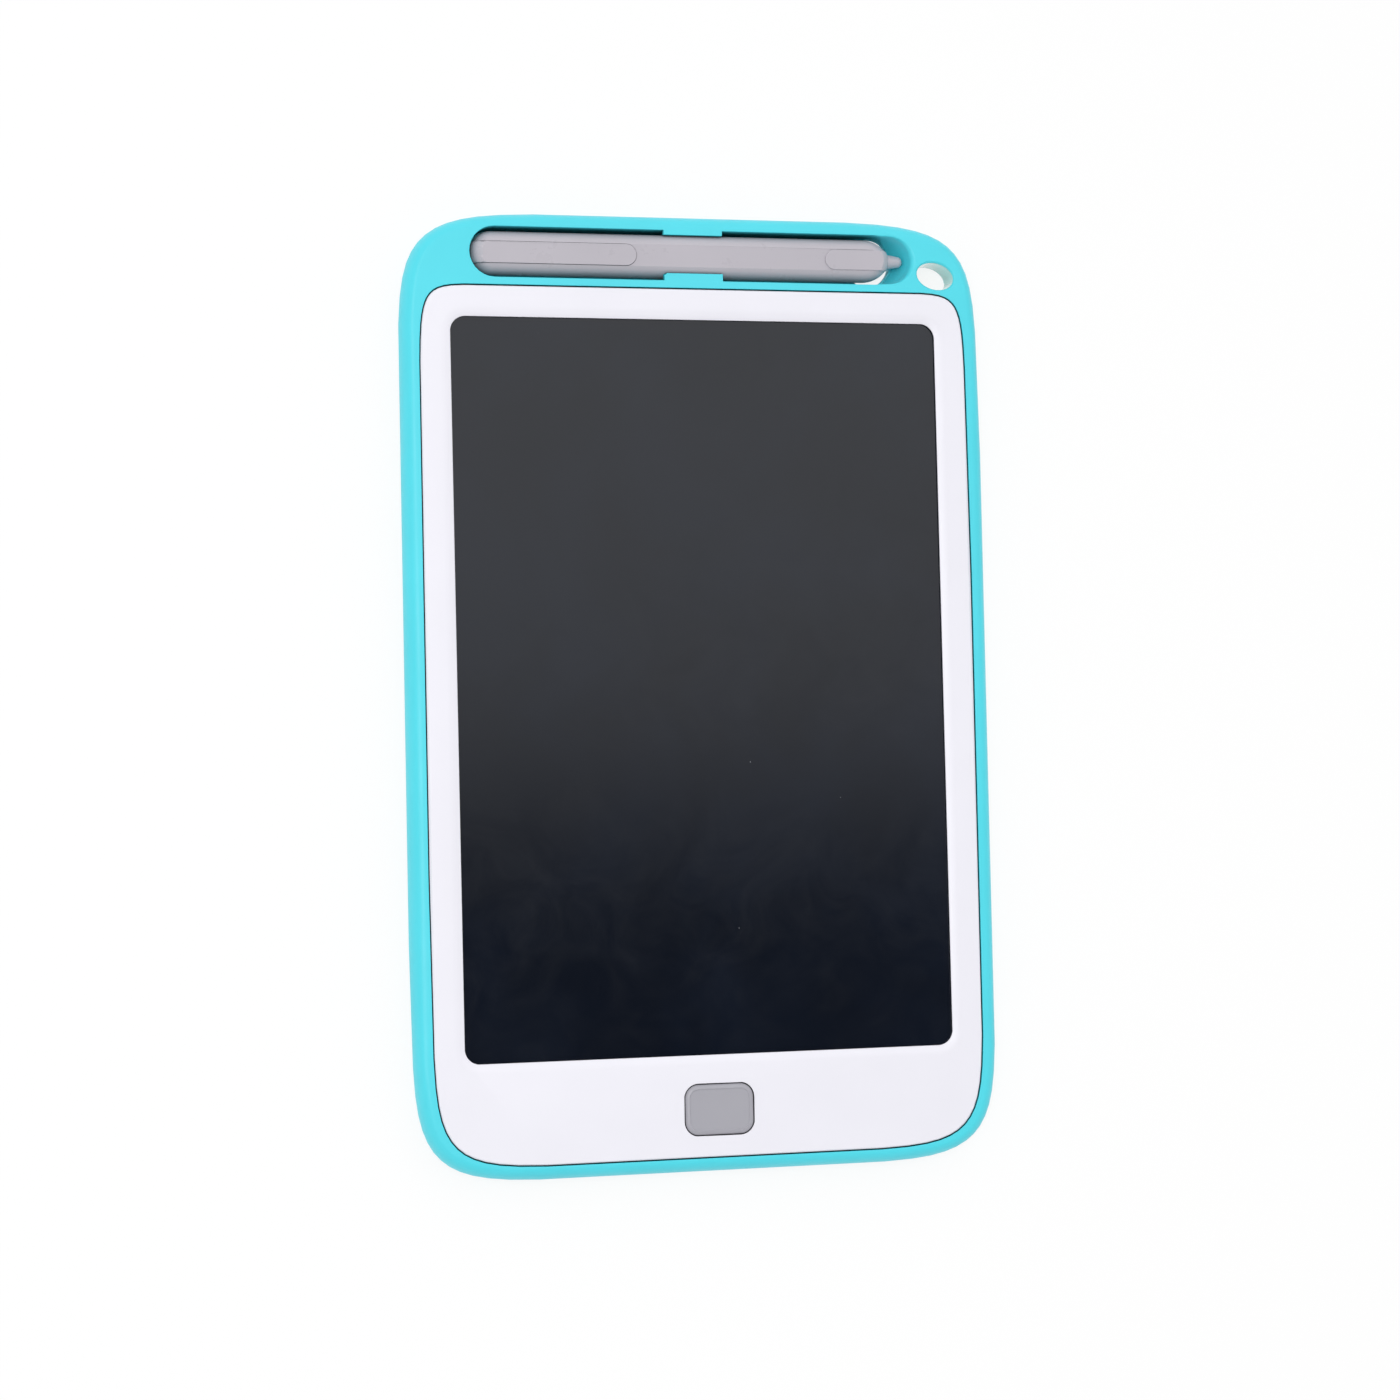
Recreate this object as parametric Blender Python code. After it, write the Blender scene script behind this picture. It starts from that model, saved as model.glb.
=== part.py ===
"""An LCD writing tablet of the 8.5 inch class with its stylus, as an assembly of separate parts.

Lengths are in metres. The tablet lies on its back: +Z comes out of the screen, +Y points to the pen
channel, and the origin is in the middle of the flat back face.
"""

import math

import bmesh
import bpy
from mathutils import Matrix, Vector

# Case outline: a rectangle with bowed sides whose corners are superellipse quarters
case_half_width = 0.0729
case_half_length = 0.11565
case_depth = 0.0100
case_top_share_x = 0.960
case_top_share_y = 0.500
case_bottom_share_x = 0.815
case_bottom_share_y = 0.490
case_top_power = 6.9
case_bottom_power = 6.5
case_bow = 0.0009
case_top_reach_x = case_half_width * case_top_share_x
case_top_reach_y = case_half_length * case_top_share_y
case_bottom_reach_x = case_half_width * case_bottom_share_x
case_bottom_reach_y = case_half_length * case_bottom_share_y
corner_steps = 14
small_corner_steps = 4

# Case section: round front edge, fuller back edge, parting line tucked under the widest line
widest_share = 0.520
parting_share = 0.260
widest_level = case_depth * widest_share
parting_level = case_depth * parting_share
seam_gap = 0.0003
front_edge_inset = 0.0030
back_edge_inset = 0.0050
front_edge_steps = 6
back_edge_steps = 5
wall = 0.0022
floor_level = 0.0016
fit_gap = 0.0003
overrun = 0.0010
tongue_thickness = 0.0012
tongue_height = 0.0011
cavity_corner_reach = 0.0100
cavity_corner_power = 2.6

# Pen channel in the top bar, sized from the stylus
pen_share = 0.522
pen_axis_share = 0.630
pen_radius = case_depth * pen_share
pen_axis_level = case_depth * pen_axis_share
groove_gap = 0.00033
slot_side_gap = 0.000575
slot_top_wall = 0.003885
slot_bezel_wall = 0.001715
slot_left_edge = 0.0173
slot_right_edge = 0.0177
groove_radius = pen_radius + groove_gap
slot_width = (groove_radius + slot_side_gap) * 2
slot_middle_y = case_half_length - slot_top_wall - slot_width / 2
slot_left = case_half_width - slot_left_edge
slot_right = case_half_width - slot_right_edge
slot_steps = 14
bowl_share = 0.720
bowl_depth = case_depth * bowl_share
bowl_start = math.radians(6)
bowl_flare = 0.0012
bowl_fullness = 0.8
bowl_flare_side = 0.0003
bowl_side_step = 0.00005
bowl_steps = 8
flare_steps = 3
finger_hole_inset = 0.0098
finger_hole_rise = 0.0005
finger_hole_x = slot_right - finger_hole_inset
finger_hole_y = slot_middle_y + finger_hole_rise
finger_hole_radius = 0.0058
lip_left = 0.0079
lip_right = 0.0067
upper_lip_reach = 0.00115
lower_lip_reach = 0.00177
lip_share = 0.200
lip_height = case_depth * lip_share
lip_steps = 5

# Lanyard hole at the right end of the top bar
lanyard_side_edge = 0.0119
lanyard_top_edge = 0.01375
lanyard_x = case_half_width - lanyard_side_edge
lanyard_y = case_half_length - lanyard_top_edge
lanyard_length = 0.0095
lanyard_width = 0.0065
lanyard_tilt = math.radians(-14)
lanyard_flare = 0.0004
lanyard_back_flare = 0.0010
lanyard_back_rise = 0.0030
lanyard_steps = 28

# Stylus
pen_axis_rise = 0.00016
pen_axis_y = slot_middle_y + pen_axis_rise
pen_end_gap = 0.0010
pen_nose_gap = 0.0059
pen_nose_length = 0.0062
pen_left = slot_left - pen_end_gap
pen_nose_x = slot_right - pen_nose_gap
pen_shoulder_x = pen_nose_x - pen_nose_length
pen_nose_radius = 0.00203
pen_shoulder_turn = math.atan2(pen_radius - pen_nose_radius, pen_nose_length) * 2
pen_shoulder_radius = pen_nose_length / math.sin(pen_shoulder_turn)
pen_round_gap = 0.00062
pen_end_round = pen_radius - pen_round_gap
pen_roll = math.radians(6)
pen_facet_width = 0.0054
pen_facet_rise = math.sqrt(pen_radius ** 2 - (pen_facet_width / 2) ** 2)
pen_steps = 28
shoulder_steps = 6
clip_width = 0.0051
clip_length = 0.0396
clip_right = pen_left - clip_length
clip_rise = 0.0004
clip_thickness = 0.0014
clip_drop = 0.0014
band_width = 0.0048
band_length = 0.0168
band_left = pen_nose_x - band_length
band_rise = 0.0004
band_sink = 0.0020
nib_base_radius = 0.0018
nib_cone_radius = 0.0013
nib_tip_radius = 0.0009
nib_flat_radius = 0.0004
nib_tip_length = 0.0012
nib_length = 0.0041
nib_tip_x = pen_nose_x + nib_length
nib_shank_radius = 0.0012
nib_shank_length = 0.0045

# Bezel, inside the rims of the case
rim_side = 0.0044
rim_bottom = 0.00345
top_bar = slot_top_wall + slot_width + slot_bezel_wall
bezel_half_width = case_half_width - rim_side
bezel_top = case_half_length - top_bar
bezel_bottom = case_half_length - rim_bottom
bezel_top_share_x = 0.601
bezel_top_share_y = 0.710
bezel_bottom_share_x = 0.993
bezel_bottom_share_y = 0.605
bezel_top_reach_x = bezel_half_width * bezel_top_share_x
bezel_top_reach_y = bezel_top * bezel_top_share_y
bezel_bottom_reach_x = bezel_half_width * bezel_bottom_share_x
bezel_bottom_reach_y = bezel_bottom * bezel_bottom_share_y
bezel_top_power = 14.0
bezel_bottom_power = 8.8
bezel_bow = 0.0005
bezel_edge_round = 0.0003
shelf_share = 0.750
shelf_level = case_depth * shelf_share
shelf_thickness = 0.0012
shelf_width = 0.0025

# Window in the bezel
bezel_side = 0.0080
bezel_upper = 0.0077
bezel_lower = 0.0247
window_width = (bezel_half_width - bezel_side) * 2
window_top = bezel_top - bezel_upper
window_bottom = bezel_bottom - bezel_lower
window_length = window_top + window_bottom
window_middle_y = (window_top - window_bottom) / 2
window_radius = 0.0037
window_chamfer_width = 0.0024
window_chamfer_depth = 0.0008
window_edge_depth = 0.0004

# Display stack behind the window
panel_margin = 0.0030
panel_thickness = 0.0005
panel_radius = 0.0015
sheet_inset = 0.0004
sheet_thickness = 0.0004
plate_thickness = 0.0010
stack_bottom_inset = 0.0050
plate_slot_length = 0.0200
plate_slot_width = 0.0040
plate_slot_count = 5
plate_slot_share_x = 0.300
plate_slot_share_y = 0.180
plate_slot_pitch_x = window_width * plate_slot_share_x
plate_slot_pitch_y = window_length * plate_slot_share_y

# Erase button and the switch under it
button_x = 0.00087
button_edge = 0.0117
button_y = button_edge - bezel_bottom
button_hole_width = 0.0174
button_hole_length = 0.0126
button_hole_radius = 0.0036
button_proud = 0.0003
button_edge_round = 0.0008
button_flange_width = 0.0015
button_flange_thickness = 0.0008
button_travel = 0.0006
button_steps = 8
button_edge_steps = 3
switch_width = 0.0060
plunger_radius = 0.0016
plunger_share = 0.600

# Coin cell, its well and its contacts
cell_radius = 0.0100
cell_side_edge = 0.0249
cell_low_edge = 0.01165
cell_x = case_half_width - cell_radius - cell_side_edge
cell_y = cell_radius + cell_low_edge - case_half_length
cell_thickness = 0.0016
cell_cap_inset = 0.0014
cell_cap_radius = cell_radius - cell_cap_inset
cell_cap_height = 0.0003
contact_width = 0.0030
contact_thickness = 0.0003
contact_foot = 0.0042
contact_drop_y = -0.0050
contact_arch = 0.0004
contact_touch = 0.0009
well_wall = 0.0015

# Battery door with two tabs and one screw
door_margin = 0.0020
door_screw_margin = 0.0048
door_screw_gap = 0.0026
door_half_width = cell_radius + door_margin
door_upper_reach = cell_radius + door_margin
door_lower_reach = cell_radius + door_screw_margin
door_radius = 0.0020
door_recess = 0.0002
door_thickness = 0.0012
tab_width = 0.0040
tab_length = 0.0015
tab_thickness = 0.0005
tab_offset = 0.0060
tab_lip = 0.0006
tab_swing_room = 0.0006
door_screw_offset = cell_radius + door_screw_gap
door_screw_head_radius = 0.0015
door_screw_head_height = 0.0005
door_screw_radius = 0.0008
door_screw_length = 0.0014

# Controller board on its posts, beside the coin cell
cell_board_gap = 0.0045
board_edge = 0.00515
board_length = 0.0190
board_left = 0.0320
board_right = cell_x - cell_radius - cell_board_gap
board_bottom = board_edge - case_half_length
board_top = board_bottom + board_length
board_share = 0.260
board_level = case_depth * board_share
board_thickness = 0.0010
board_radius = 0.0010
post_radius = 0.0022
pin_radius = 0.0008
pin_proud = 0.0005
post_edge = 0.0035
chip_x = -0.0100
chip_edge = 0.0055
chip_y = board_bottom + chip_edge
chip_width = 0.0060
chip_length = 0.0050
chip_height = 0.0012
coil_x = -0.0205
coil_radius = 0.0022
coil_height = 0.0020
coil_core_radius = 0.0013
coil_rim_height = 0.0004

# Display tail from the panel down to the board
tail_x = -0.0200
tail_width = 0.0140
tail_thickness = 0.0002
tail_overlap = 0.0036
tail_bond = 0.0016
tail_landing = 0.0040
tail_steps = 10

# Screen lock slider and the switch that it moves
lock_inset = 0.0095
lock_rise = 0.0045
lock_x = board_right - lock_inset
lock_y = board_top + lock_rise
lock_travel = 0.0025
lock_knob_length = 0.0090
lock_knob_width = 0.0060
lock_knob_radius = 0.0010
lock_knob_thickness = 0.0008
lock_recess_depth = 0.0013
lock_pad_thickness = 0.0010
lock_pad_margin = 0.0015
lock_stem_length = 0.0030
lock_stem_width = 0.0024
lock_flange_width = 0.0044
lock_flange_thickness = 0.0006
lock_ridge_count = 4
lock_ridge_width = 0.0007
lock_ridge_depth = 0.0003
lock_switch_length = 0.0070
lock_switch_width = 0.0030
lock_switch_height = 0.0016
lever_width = 0.0011
lever_height = 0.0006
lever_reach = 0.0018
fork_thickness = 0.0008

# Case screws from the back into bosses of the front shell
screw_side_edge = 0.0070
screw_end_edge = 0.03565
screw_x = case_half_width - screw_side_edge
screw_y = case_half_length - screw_end_edge
boss_radius = 0.0022
screw_radius = 0.00085
screw_head_radius = 0.0016
screw_head_height = 0.0007
screw_length = 0.0036
screw_well_depth = 0.0012
screw_pad_height = 0.0008
round_steps = 16

# Stiffening ribs on the floor of the back shell
rib_thickness = 0.0012
rib_end_gap = 0.0005
rib_low_gap = 0.0215
rib_half_span = window_width / 2 - rib_end_gap
rib_low_y = rib_low_gap - window_bottom
rib_high_y = window_top
cross_rib_count = 5
long_rib_share = 0.230
long_rib_x = window_width * long_rib_share


# Helpers for outlines
def outline(
    half_width, top, bottom, top_reach, bottom_reach, top_power, bottom_power, bow, steps=corner_steps
):
    """A closed counter-clockwise outline of four superellipse quarters, starting on the right."""
    points = []
    for side, end in ((1, 1), (-1, 1), (-1, -1), (1, -1)):
        extent = top if end > 0 else bottom
        reach_x, reach_y = top_reach if end > 0 else bottom_reach
        power = top_power if end > 0 else bottom_power
        for step in range(steps):
            share = step / steps
            turn = math.radians(90) * (share if side == end else 1 - share)
            x = half_width - reach_x * (1 - max(math.cos(turn), 0) ** (2 / power))
            y = extent - reach_y * (1 - math.sin(turn) ** (2 / power))
            x = x - bow * (y / extent) ** 2
            points.append(Vector((side * x, end * y)))
    return points


def inset(points, distance):
    """The outline moved inward by a distance, with every edge parallel to where it was."""
    moved = []
    for index, point in enumerate(points):
        before = (point - points[index - 1]).normalized()
        after = (points[(index + 1) % len(points)] - point).normalized()
        inward_before = Vector((-before.y, before.x))
        inward_after = Vector((-after.y, after.x))
        reach = distance / (1 + inward_before.dot(inward_after))
        moved.append(point + (inward_before + inward_after) * reach)
    return moved


def shifted(points, x, y):
    return [point + Vector((x, y)) for point in points]


def rounded_rectangle(middle_x, middle_y, half_x, half_y, radius, steps=small_corner_steps):
    reach = (radius, radius)
    points = outline(half_x, half_y, half_y, reach, reach, 2, 2, 0, steps)
    return shifted(points, middle_x, middle_y)


def ellipse(middle_x, middle_y, half_x, half_y, tilt, steps):
    points = []
    for step in range(steps):
        turn = math.tau * step / steps
        along = half_x * math.cos(turn)
        across = half_y * math.sin(turn)
        x = middle_x + along * math.cos(tilt) - across * math.sin(tilt)
        y = middle_y + along * math.sin(tilt) + across * math.cos(tilt)
        points.append(Vector((x, y)))
    return points


def stadium(left, right, middle_y, width, steps):
    """A slot with half-round ends between two X positions."""
    radius = width / 2
    points = []
    for end_x, start in ((right - radius, -math.pi / 2), (left + radius, math.pi / 2)):
        for step in range(steps + 1):
            turn = start + math.pi * step / steps
            points.append(Vector((end_x + radius * math.cos(turn), middle_y + radius * math.sin(turn))))
    return points


def case_outline():
    return outline(
        case_half_width, case_half_length, case_half_length,
        (case_top_reach_x, case_top_reach_y), (case_bottom_reach_x, case_bottom_reach_y),
        case_top_power, case_bottom_power, case_bow,
    )


def bezel_outline():
    return outline(
        bezel_half_width, bezel_top, bezel_bottom,
        (bezel_top_reach_x, bezel_top_reach_y), (bezel_bottom_reach_x, bezel_bottom_reach_y),
        bezel_top_power, bezel_bottom_power, bezel_bow,
    )


def cavity_outline():
    """The inner wall of the case: parallel to the sides and bottom, and short of the pen channel."""
    corner = (cavity_corner_reach, cavity_corner_reach)
    top = slot_middle_y - slot_width / 2 - wall - fit_gap
    bottom_reach = (case_bottom_reach_x - wall, case_bottom_reach_y - wall)
    return outline(
        case_half_width - wall, top, case_half_length - wall,
        corner, bottom_reach, cavity_corner_power, case_bottom_power, case_bow,
    )


def window_outline(margin):
    return rounded_rectangle(
        0, window_middle_y, window_width / 2 + margin, window_length / 2 + margin,
        window_radius + margin, corner_steps,
    )


def side_inset(level):
    """How far the round side of the case lies inside its widest line at a level."""
    if level >= widest_level:
        rise = (level - widest_level) / (case_depth - widest_level)
        return front_edge_inset * (1 - math.sqrt(max(0, 1 - rise ** 2)))
    drop = (widest_level - level) / widest_level
    return back_edge_inset * (1 - math.sqrt(max(0, 1 - drop ** 2)))


def ring(points, level):
    return [Vector((point.x, point.y, level)) for point in points]


# Helpers for solids
def add_loft(mesh, rings, closed=False):
    """Joins rings of equally many points by quads, with flat ends unless the last meets the first."""
    loops = [[mesh.verts.new(point) for point in points] for points in rings]
    pairs = list(zip(loops, loops[1:]))
    if closed:
        pairs.append((loops[-1], loops[0]))
    for low, high in pairs:
        for index in range(len(low)):
            after = (index + 1) % len(low)
            mesh.faces.new((low[index], low[after], high[after], high[index]))
    if not closed:
        mesh.faces.new(loops[0])
        mesh.faces.new(loops[-1])


def add_prism(mesh, points, low, high):
    add_loft(mesh, [ring(points, low), ring(points, high)])


def add_block(mesh, left, right, front, back, low, high):
    corners = [Vector((left, front)), Vector((right, front)), Vector((right, back)), Vector((left, back))]
    add_prism(mesh, corners, low, high)


def add_turned(mesh, profile, place, steps):
    """Spins a profile of (radius, height) about the Z axis of a placing matrix, with flat ends."""
    verts = [mesh.verts.new(place @ Vector((radius, 0, height))) for radius, height in profile]
    edges = [mesh.edges.new(pair) for pair in zip(verts, verts[1:])]
    origin = place @ Vector((0, 0, 0))
    axis = place.to_3x3() @ Vector((0, 0, 1))
    bmesh.ops.spin(
        mesh, geom=verts + edges, cent=origin, axis=axis, angle=math.tau, steps=steps, use_merge=True
    )
    rims = [edge for edge in mesh.edges if edge.is_boundary]
    bmesh.ops.edgeloop_fill(mesh, edges=rims)


def upright(x, y):
    return Matrix.Translation((x, y, 0))


def cylinder_profile(radius, low, high):
    return [(radius, low), (radius, high)]


def place_object(name, mesh, smooth=True):
    bmesh.ops.recalc_face_normals(mesh, faces=mesh.faces)
    data = bpy.data.meshes.new(name)
    mesh.to_mesh(data)
    mesh.free()
    piece = bpy.data.objects.new(name, data)
    bpy.context.scene.collection.objects.link(piece)
    if smooth:
        data.shade_smooth()
        data.set_sharp_from_angle(angle=math.radians(30))
    return piece


def combine(piece, tool, operation):
    """Cuts a piece with a tool, joins the tool to it, or keeps what both hold."""
    tool.hide_render = True
    tool.display_type = "WIRE"
    modifier = piece.modifiers.new(tool.name, "BOOLEAN")
    modifier.operation = operation
    modifier.solver = "EXACT"
    modifier.object = tool
    return piece


def cut(piece, tool):
    return combine(piece, tool, "DIFFERENCE")


def join(piece, tool):
    return combine(piece, tool, "UNION")


def paint(piece, finish):
    colour, roughness, metallic = finish
    material = bpy.data.materials.new(piece.name + "_finish")
    material.use_nodes = True
    shader = material.node_tree.nodes["Principled BSDF"]
    shader.inputs["Base Color"].default_value = (*colour, 1.0)
    shader.inputs["Roughness"].default_value = roughness
    shader.inputs["Metallic"].default_value = metallic
    piece.data.materials.append(material)
    return piece


# Finishes: colour, roughness and how metallic it is
teal = ((0.089, 0.730, 0.847), 0.35, 0.0)
white = ((0.870, 0.860, 0.930), 0.40, 0.0)
grey = ((0.390, 0.380, 0.420), 0.45, 0.0)
pen_grey = ((0.440, 0.420, 0.450), 0.40, 0.0)
screen_black = ((0.045, 0.048, 0.055), 0.15, 0.0)
matt_black = ((0.010, 0.010, 0.011), 0.70, 0.0)
board_green = ((0.020, 0.150, 0.060), 0.45, 0.0)
steel = ((0.600, 0.600, 0.590), 0.30, 1.0)
copper = ((0.550, 0.280, 0.120), 0.50, 0.0)


# Levels that several parts share
front_seam = parting_level + seam_gap / 2
back_seam = parting_level - seam_gap / 2
bezel_level = shelf_level + fit_gap
lip_underside = case_depth - window_chamfer_depth - window_edge_depth
panel_level = lip_underside - fit_gap - panel_thickness
sheet_level = panel_level - fit_gap - sheet_thickness
plate_level = sheet_level - fit_gap - plate_thickness
board_face = board_level + board_thickness
cell_level = door_recess + door_thickness + fit_gap
well_level = cell_level + cell_thickness
flange_top = bezel_level - fit_gap
flange_level = flange_top - button_flange_thickness
plunger_top = flange_level - fit_gap
switch_top = plunger_top - button_travel
plunger_depth = (switch_top - board_face - fit_gap) * plunger_share


# Cutters that pass through both shells of the case
def lanyard_cutter():
    mesh = bmesh.new()
    rings = []
    stations = (
        (-overrun, lanyard_back_flare), (0, lanyard_back_flare), (lanyard_back_rise, 0),
        (case_depth - lanyard_flare, 0), (case_depth, lanyard_flare), (case_depth + overrun, lanyard_flare),
    )
    for level, growth in stations:
        half_x = lanyard_length / 2 + growth
        half_y = lanyard_width / 2 + growth
        rings.append(ring(ellipse(lanyard_x, lanyard_y, half_x, half_y, lanyard_tilt, lanyard_steps), level))
    add_loft(mesh, rings)
    return place_object("lanyard_cutter", mesh)


def screw_places():
    """The six case screws, left and right, from the top of the tablet down."""
    return [(side * screw_x, row * screw_y) for row in (1, 0, -1) for side in (-1, 1)]


# Front shell: rim, top bar with the pen channel, bezel shelf and screw bosses
def case_front(through_hole):
    mesh = bmesh.new()
    outer = case_outline()
    opening = bezel_outline()
    cavity = cavity_outline()
    rings = []
    low_turn = math.asin((widest_level - front_seam) / widest_level)
    for turn in (low_turn, low_turn / 2):
        level = widest_level * (1 - math.sin(turn))
        rings.append(ring(inset(outer, side_inset(level)), level))
    for step in range(front_edge_steps + 1):
        turn = math.radians(90) * step / front_edge_steps
        level = widest_level + (case_depth - widest_level) * math.sin(turn)
        rings.append(ring(inset(outer, side_inset(level)), level))
    rings.append(ring(opening, case_depth))
    rings.append(ring(opening, shelf_level))
    rings.append(ring(inset(opening, shelf_width), shelf_level))
    rings.append(ring(inset(opening, shelf_width), shelf_level - shelf_thickness))
    rings.append(ring(cavity, shelf_level - shelf_thickness))
    rings.append(ring(cavity, front_seam))
    add_loft(mesh, rings, closed=True)
    shell = place_object("case_front", mesh)

    bosses = bmesh.new()
    pilots = bmesh.new()
    boss_top = shelf_level - shelf_thickness + fit_gap
    boss_bottom = floor_level + screw_pad_height + fit_gap
    for x, y in screw_places():
        add_turned(bosses, cylinder_profile(boss_radius, boss_bottom, boss_top), upright(x, y), round_steps)
        pilot_top = screw_well_depth + screw_length + fit_gap
        pilot = cylinder_profile(screw_radius + fit_gap, boss_bottom - overrun, pilot_top)
        add_turned(pilots, pilot, upright(x, y), round_steps)
    join(shell, place_object("boss_guide", bosses))
    cut(shell, place_object("pilot_cutter", pilots))

    slot = bmesh.new()
    deep_end = finger_hole_x + slot_width / 2
    outline_points = stadium(-slot_left, deep_end, slot_middle_y, slot_width, slot_steps)
    add_prism(slot, outline_points, front_seam - overrun, case_depth + overrun)
    cut(shell, place_object("slot_cutter", slot))
    cut(shell, bowl_cutter())
    cut(shell, through_hole)
    return paint(shell, teal)


def bowl_outline(half_x, half_y):
    """A long oval: its right end is the scoop's rim, and its left end lies in the open channel."""
    points = []
    quarter = math.radians(90)
    for middle_x, start in ((slot_right - slot_width / 2, -quarter), (finger_hole_x, quarter)):
        for step in range(slot_steps + 1):
            turn = start + quarter * 2 * step / slot_steps
            points.append(Vector((middle_x + half_x * math.cos(turn), slot_middle_y + half_y * math.sin(turn))))
    return points


def bowl_cutter():
    """The scooped right end of the pen channel, with a soft flare into the front face."""
    half_x = slot_width / 2 - bowl_flare
    half_y = slot_width / 2 - bowl_side_step - bowl_flare_side
    rings = []
    for step in range(bowl_steps + 1):
        turn = bowl_start + (math.radians(90) - bowl_start) * step / bowl_steps
        level = case_depth - bowl_flare - bowl_depth * math.cos(turn)
        share = math.sin(turn) ** bowl_fullness
        rings.append(ring(bowl_outline(half_x * share, half_y * share), level))
    for step in range(1, flare_steps + 1):
        turn = math.radians(90) * step / flare_steps
        out = 1 - math.cos(turn)
        rim = bowl_outline(half_x + bowl_flare * out, half_y + bowl_flare_side * out)
        rings.append(ring(rim, case_depth - bowl_flare * (1 - math.sin(turn))))
    rings.append(ring(rim, case_depth + overrun))
    mesh = bmesh.new()
    add_loft(mesh, rings)
    return place_object("bowl_cutter", mesh)


# Back shell: floor, tongue, pen groove, battery well, ribs and posts
def case_back(through_hole):
    mesh = bmesh.new()
    outer = case_outline()
    cavity = cavity_outline()
    tongue_outer = inset(cavity, fit_gap)
    tongue_inner = inset(cavity, fit_gap + tongue_thickness)
    rings = []
    seam_turn = math.asin((widest_level - back_seam) / widest_level)
    for step in range(back_edge_steps + 1):
        turn = math.radians(90) + (seam_turn - math.radians(90)) * step / back_edge_steps
        level = widest_level * (1 - math.sin(turn))
        rings.append(ring(inset(outer, side_inset(level)), level))
    rings.append(ring(tongue_outer, back_seam))
    rings.append(ring(tongue_outer, back_seam + tongue_height))
    rings.append(ring(tongue_inner, back_seam + tongue_height))
    rings.append(ring(tongue_inner, floor_level))
    add_loft(mesh, rings)
    shell = place_object("case_back", mesh)

    rib_top = plate_level - fit_gap
    sunk = floor_level - fit_gap
    long_ribs = bmesh.new()
    for side in (-1, 1):
        left = side * long_rib_x - rib_thickness / 2
        add_block(long_ribs, left, left + rib_thickness, rib_low_y, rib_high_y, sunk, rib_top)
    join(shell, place_object("long_rib_guide", long_ribs))
    cross_ribs = bmesh.new()
    for index in range(cross_rib_count):
        middle = rib_low_y + (rib_high_y - rib_low_y) * (index + 1) / (cross_rib_count + 1)
        low_y = middle - rib_thickness / 2
        span = rib_half_span
        add_block(cross_ribs, -span, span, low_y, low_y + rib_thickness, sunk, rib_top)
    join(shell, place_object("cross_rib_guide", cross_ribs))

    pads = bmesh.new()
    add_prism(pads, door_outline(fit_gap + well_wall, tab_length + fit_gap), sunk, well_level)
    lock_half_x = (lock_knob_length + lock_travel) / 2 + fit_gap + lock_pad_margin
    lock_half_y = lock_knob_width / 2 + fit_gap + lock_pad_margin
    lock_middle = lock_x + lock_travel / 2
    pad_outline = rounded_rectangle(lock_middle, lock_y, lock_half_x, lock_half_y, lock_knob_radius)
    add_prism(pads, pad_outline, sunk, lock_pad_top())
    for x, y in post_places():
        post = cylinder_profile(post_radius, sunk, board_level - fit_gap)
        add_turned(pads, post, upright(x, y), round_steps)
    for x, y in screw_places():
        pad = cylinder_profile(screw_head_radius + well_wall, sunk, floor_level + screw_pad_height)
        add_turned(pads, pad, upright(x, y), round_steps)
    join(shell, place_object("pad_guide", pads))
    pins = bmesh.new()
    for x, y in post_places():
        pin = cylinder_profile(pin_radius, board_level - overrun, board_face + pin_proud)
        add_turned(pins, pin, upright(x, y), round_steps)
    join(shell, place_object("pin_guide", pins))

    recesses = bmesh.new()
    add_prism(recesses, door_outline(fit_gap, 0), -overrun, cell_level)
    recess_half_x = (lock_knob_length + lock_travel) / 2 + fit_gap
    recess = rounded_rectangle(
        lock_middle, lock_y, recess_half_x, lock_knob_width / 2 + fit_gap, lock_knob_radius
    )
    add_prism(recesses, recess, -overrun, lock_recess_depth)
    for x, y in screw_places():
        counterbore = cylinder_profile(screw_head_radius + fit_gap, -overrun, screw_well_depth)
        add_turned(recesses, counterbore, upright(x, y), round_steps)
    cut(shell, place_object("recess_cutter", recesses))

    holes = bmesh.new()
    add_turned(
        holes, cylinder_profile(cell_radius + fit_gap, -overrun, well_level + overrun),
        upright(cell_x, cell_y), round_steps * 2,
    )
    stem_half_x = (lock_stem_length + lock_travel) / 2 + fit_gap
    stem_slot = rounded_rectangle(
        lock_middle, lock_y, stem_half_x, lock_stem_width / 2 + fit_gap, lock_knob_radius
    )
    add_prism(holes, stem_slot, -overrun, lock_pad_top() + overrun)
    for x, y in screw_places():
        pad_top = floor_level + screw_pad_height
        shank_hole = cylinder_profile(screw_radius + fit_gap, -overrun, pad_top + overrun)
        add_turned(holes, shank_hole, upright(x, y), round_steps)
    pilot = cylinder_profile(door_screw_radius + fit_gap, -overrun, well_level - fit_gap)
    add_turned(holes, pilot, upright(cell_x, cell_y - door_screw_offset), round_steps)
    finger = cylinder_profile(finger_hole_radius, -overrun, back_seam + overrun)
    add_turned(holes, finger, upright(finger_hole_x, finger_hole_y), round_steps * 2)
    cut(shell, place_object("hole_cutter", holes))

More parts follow.
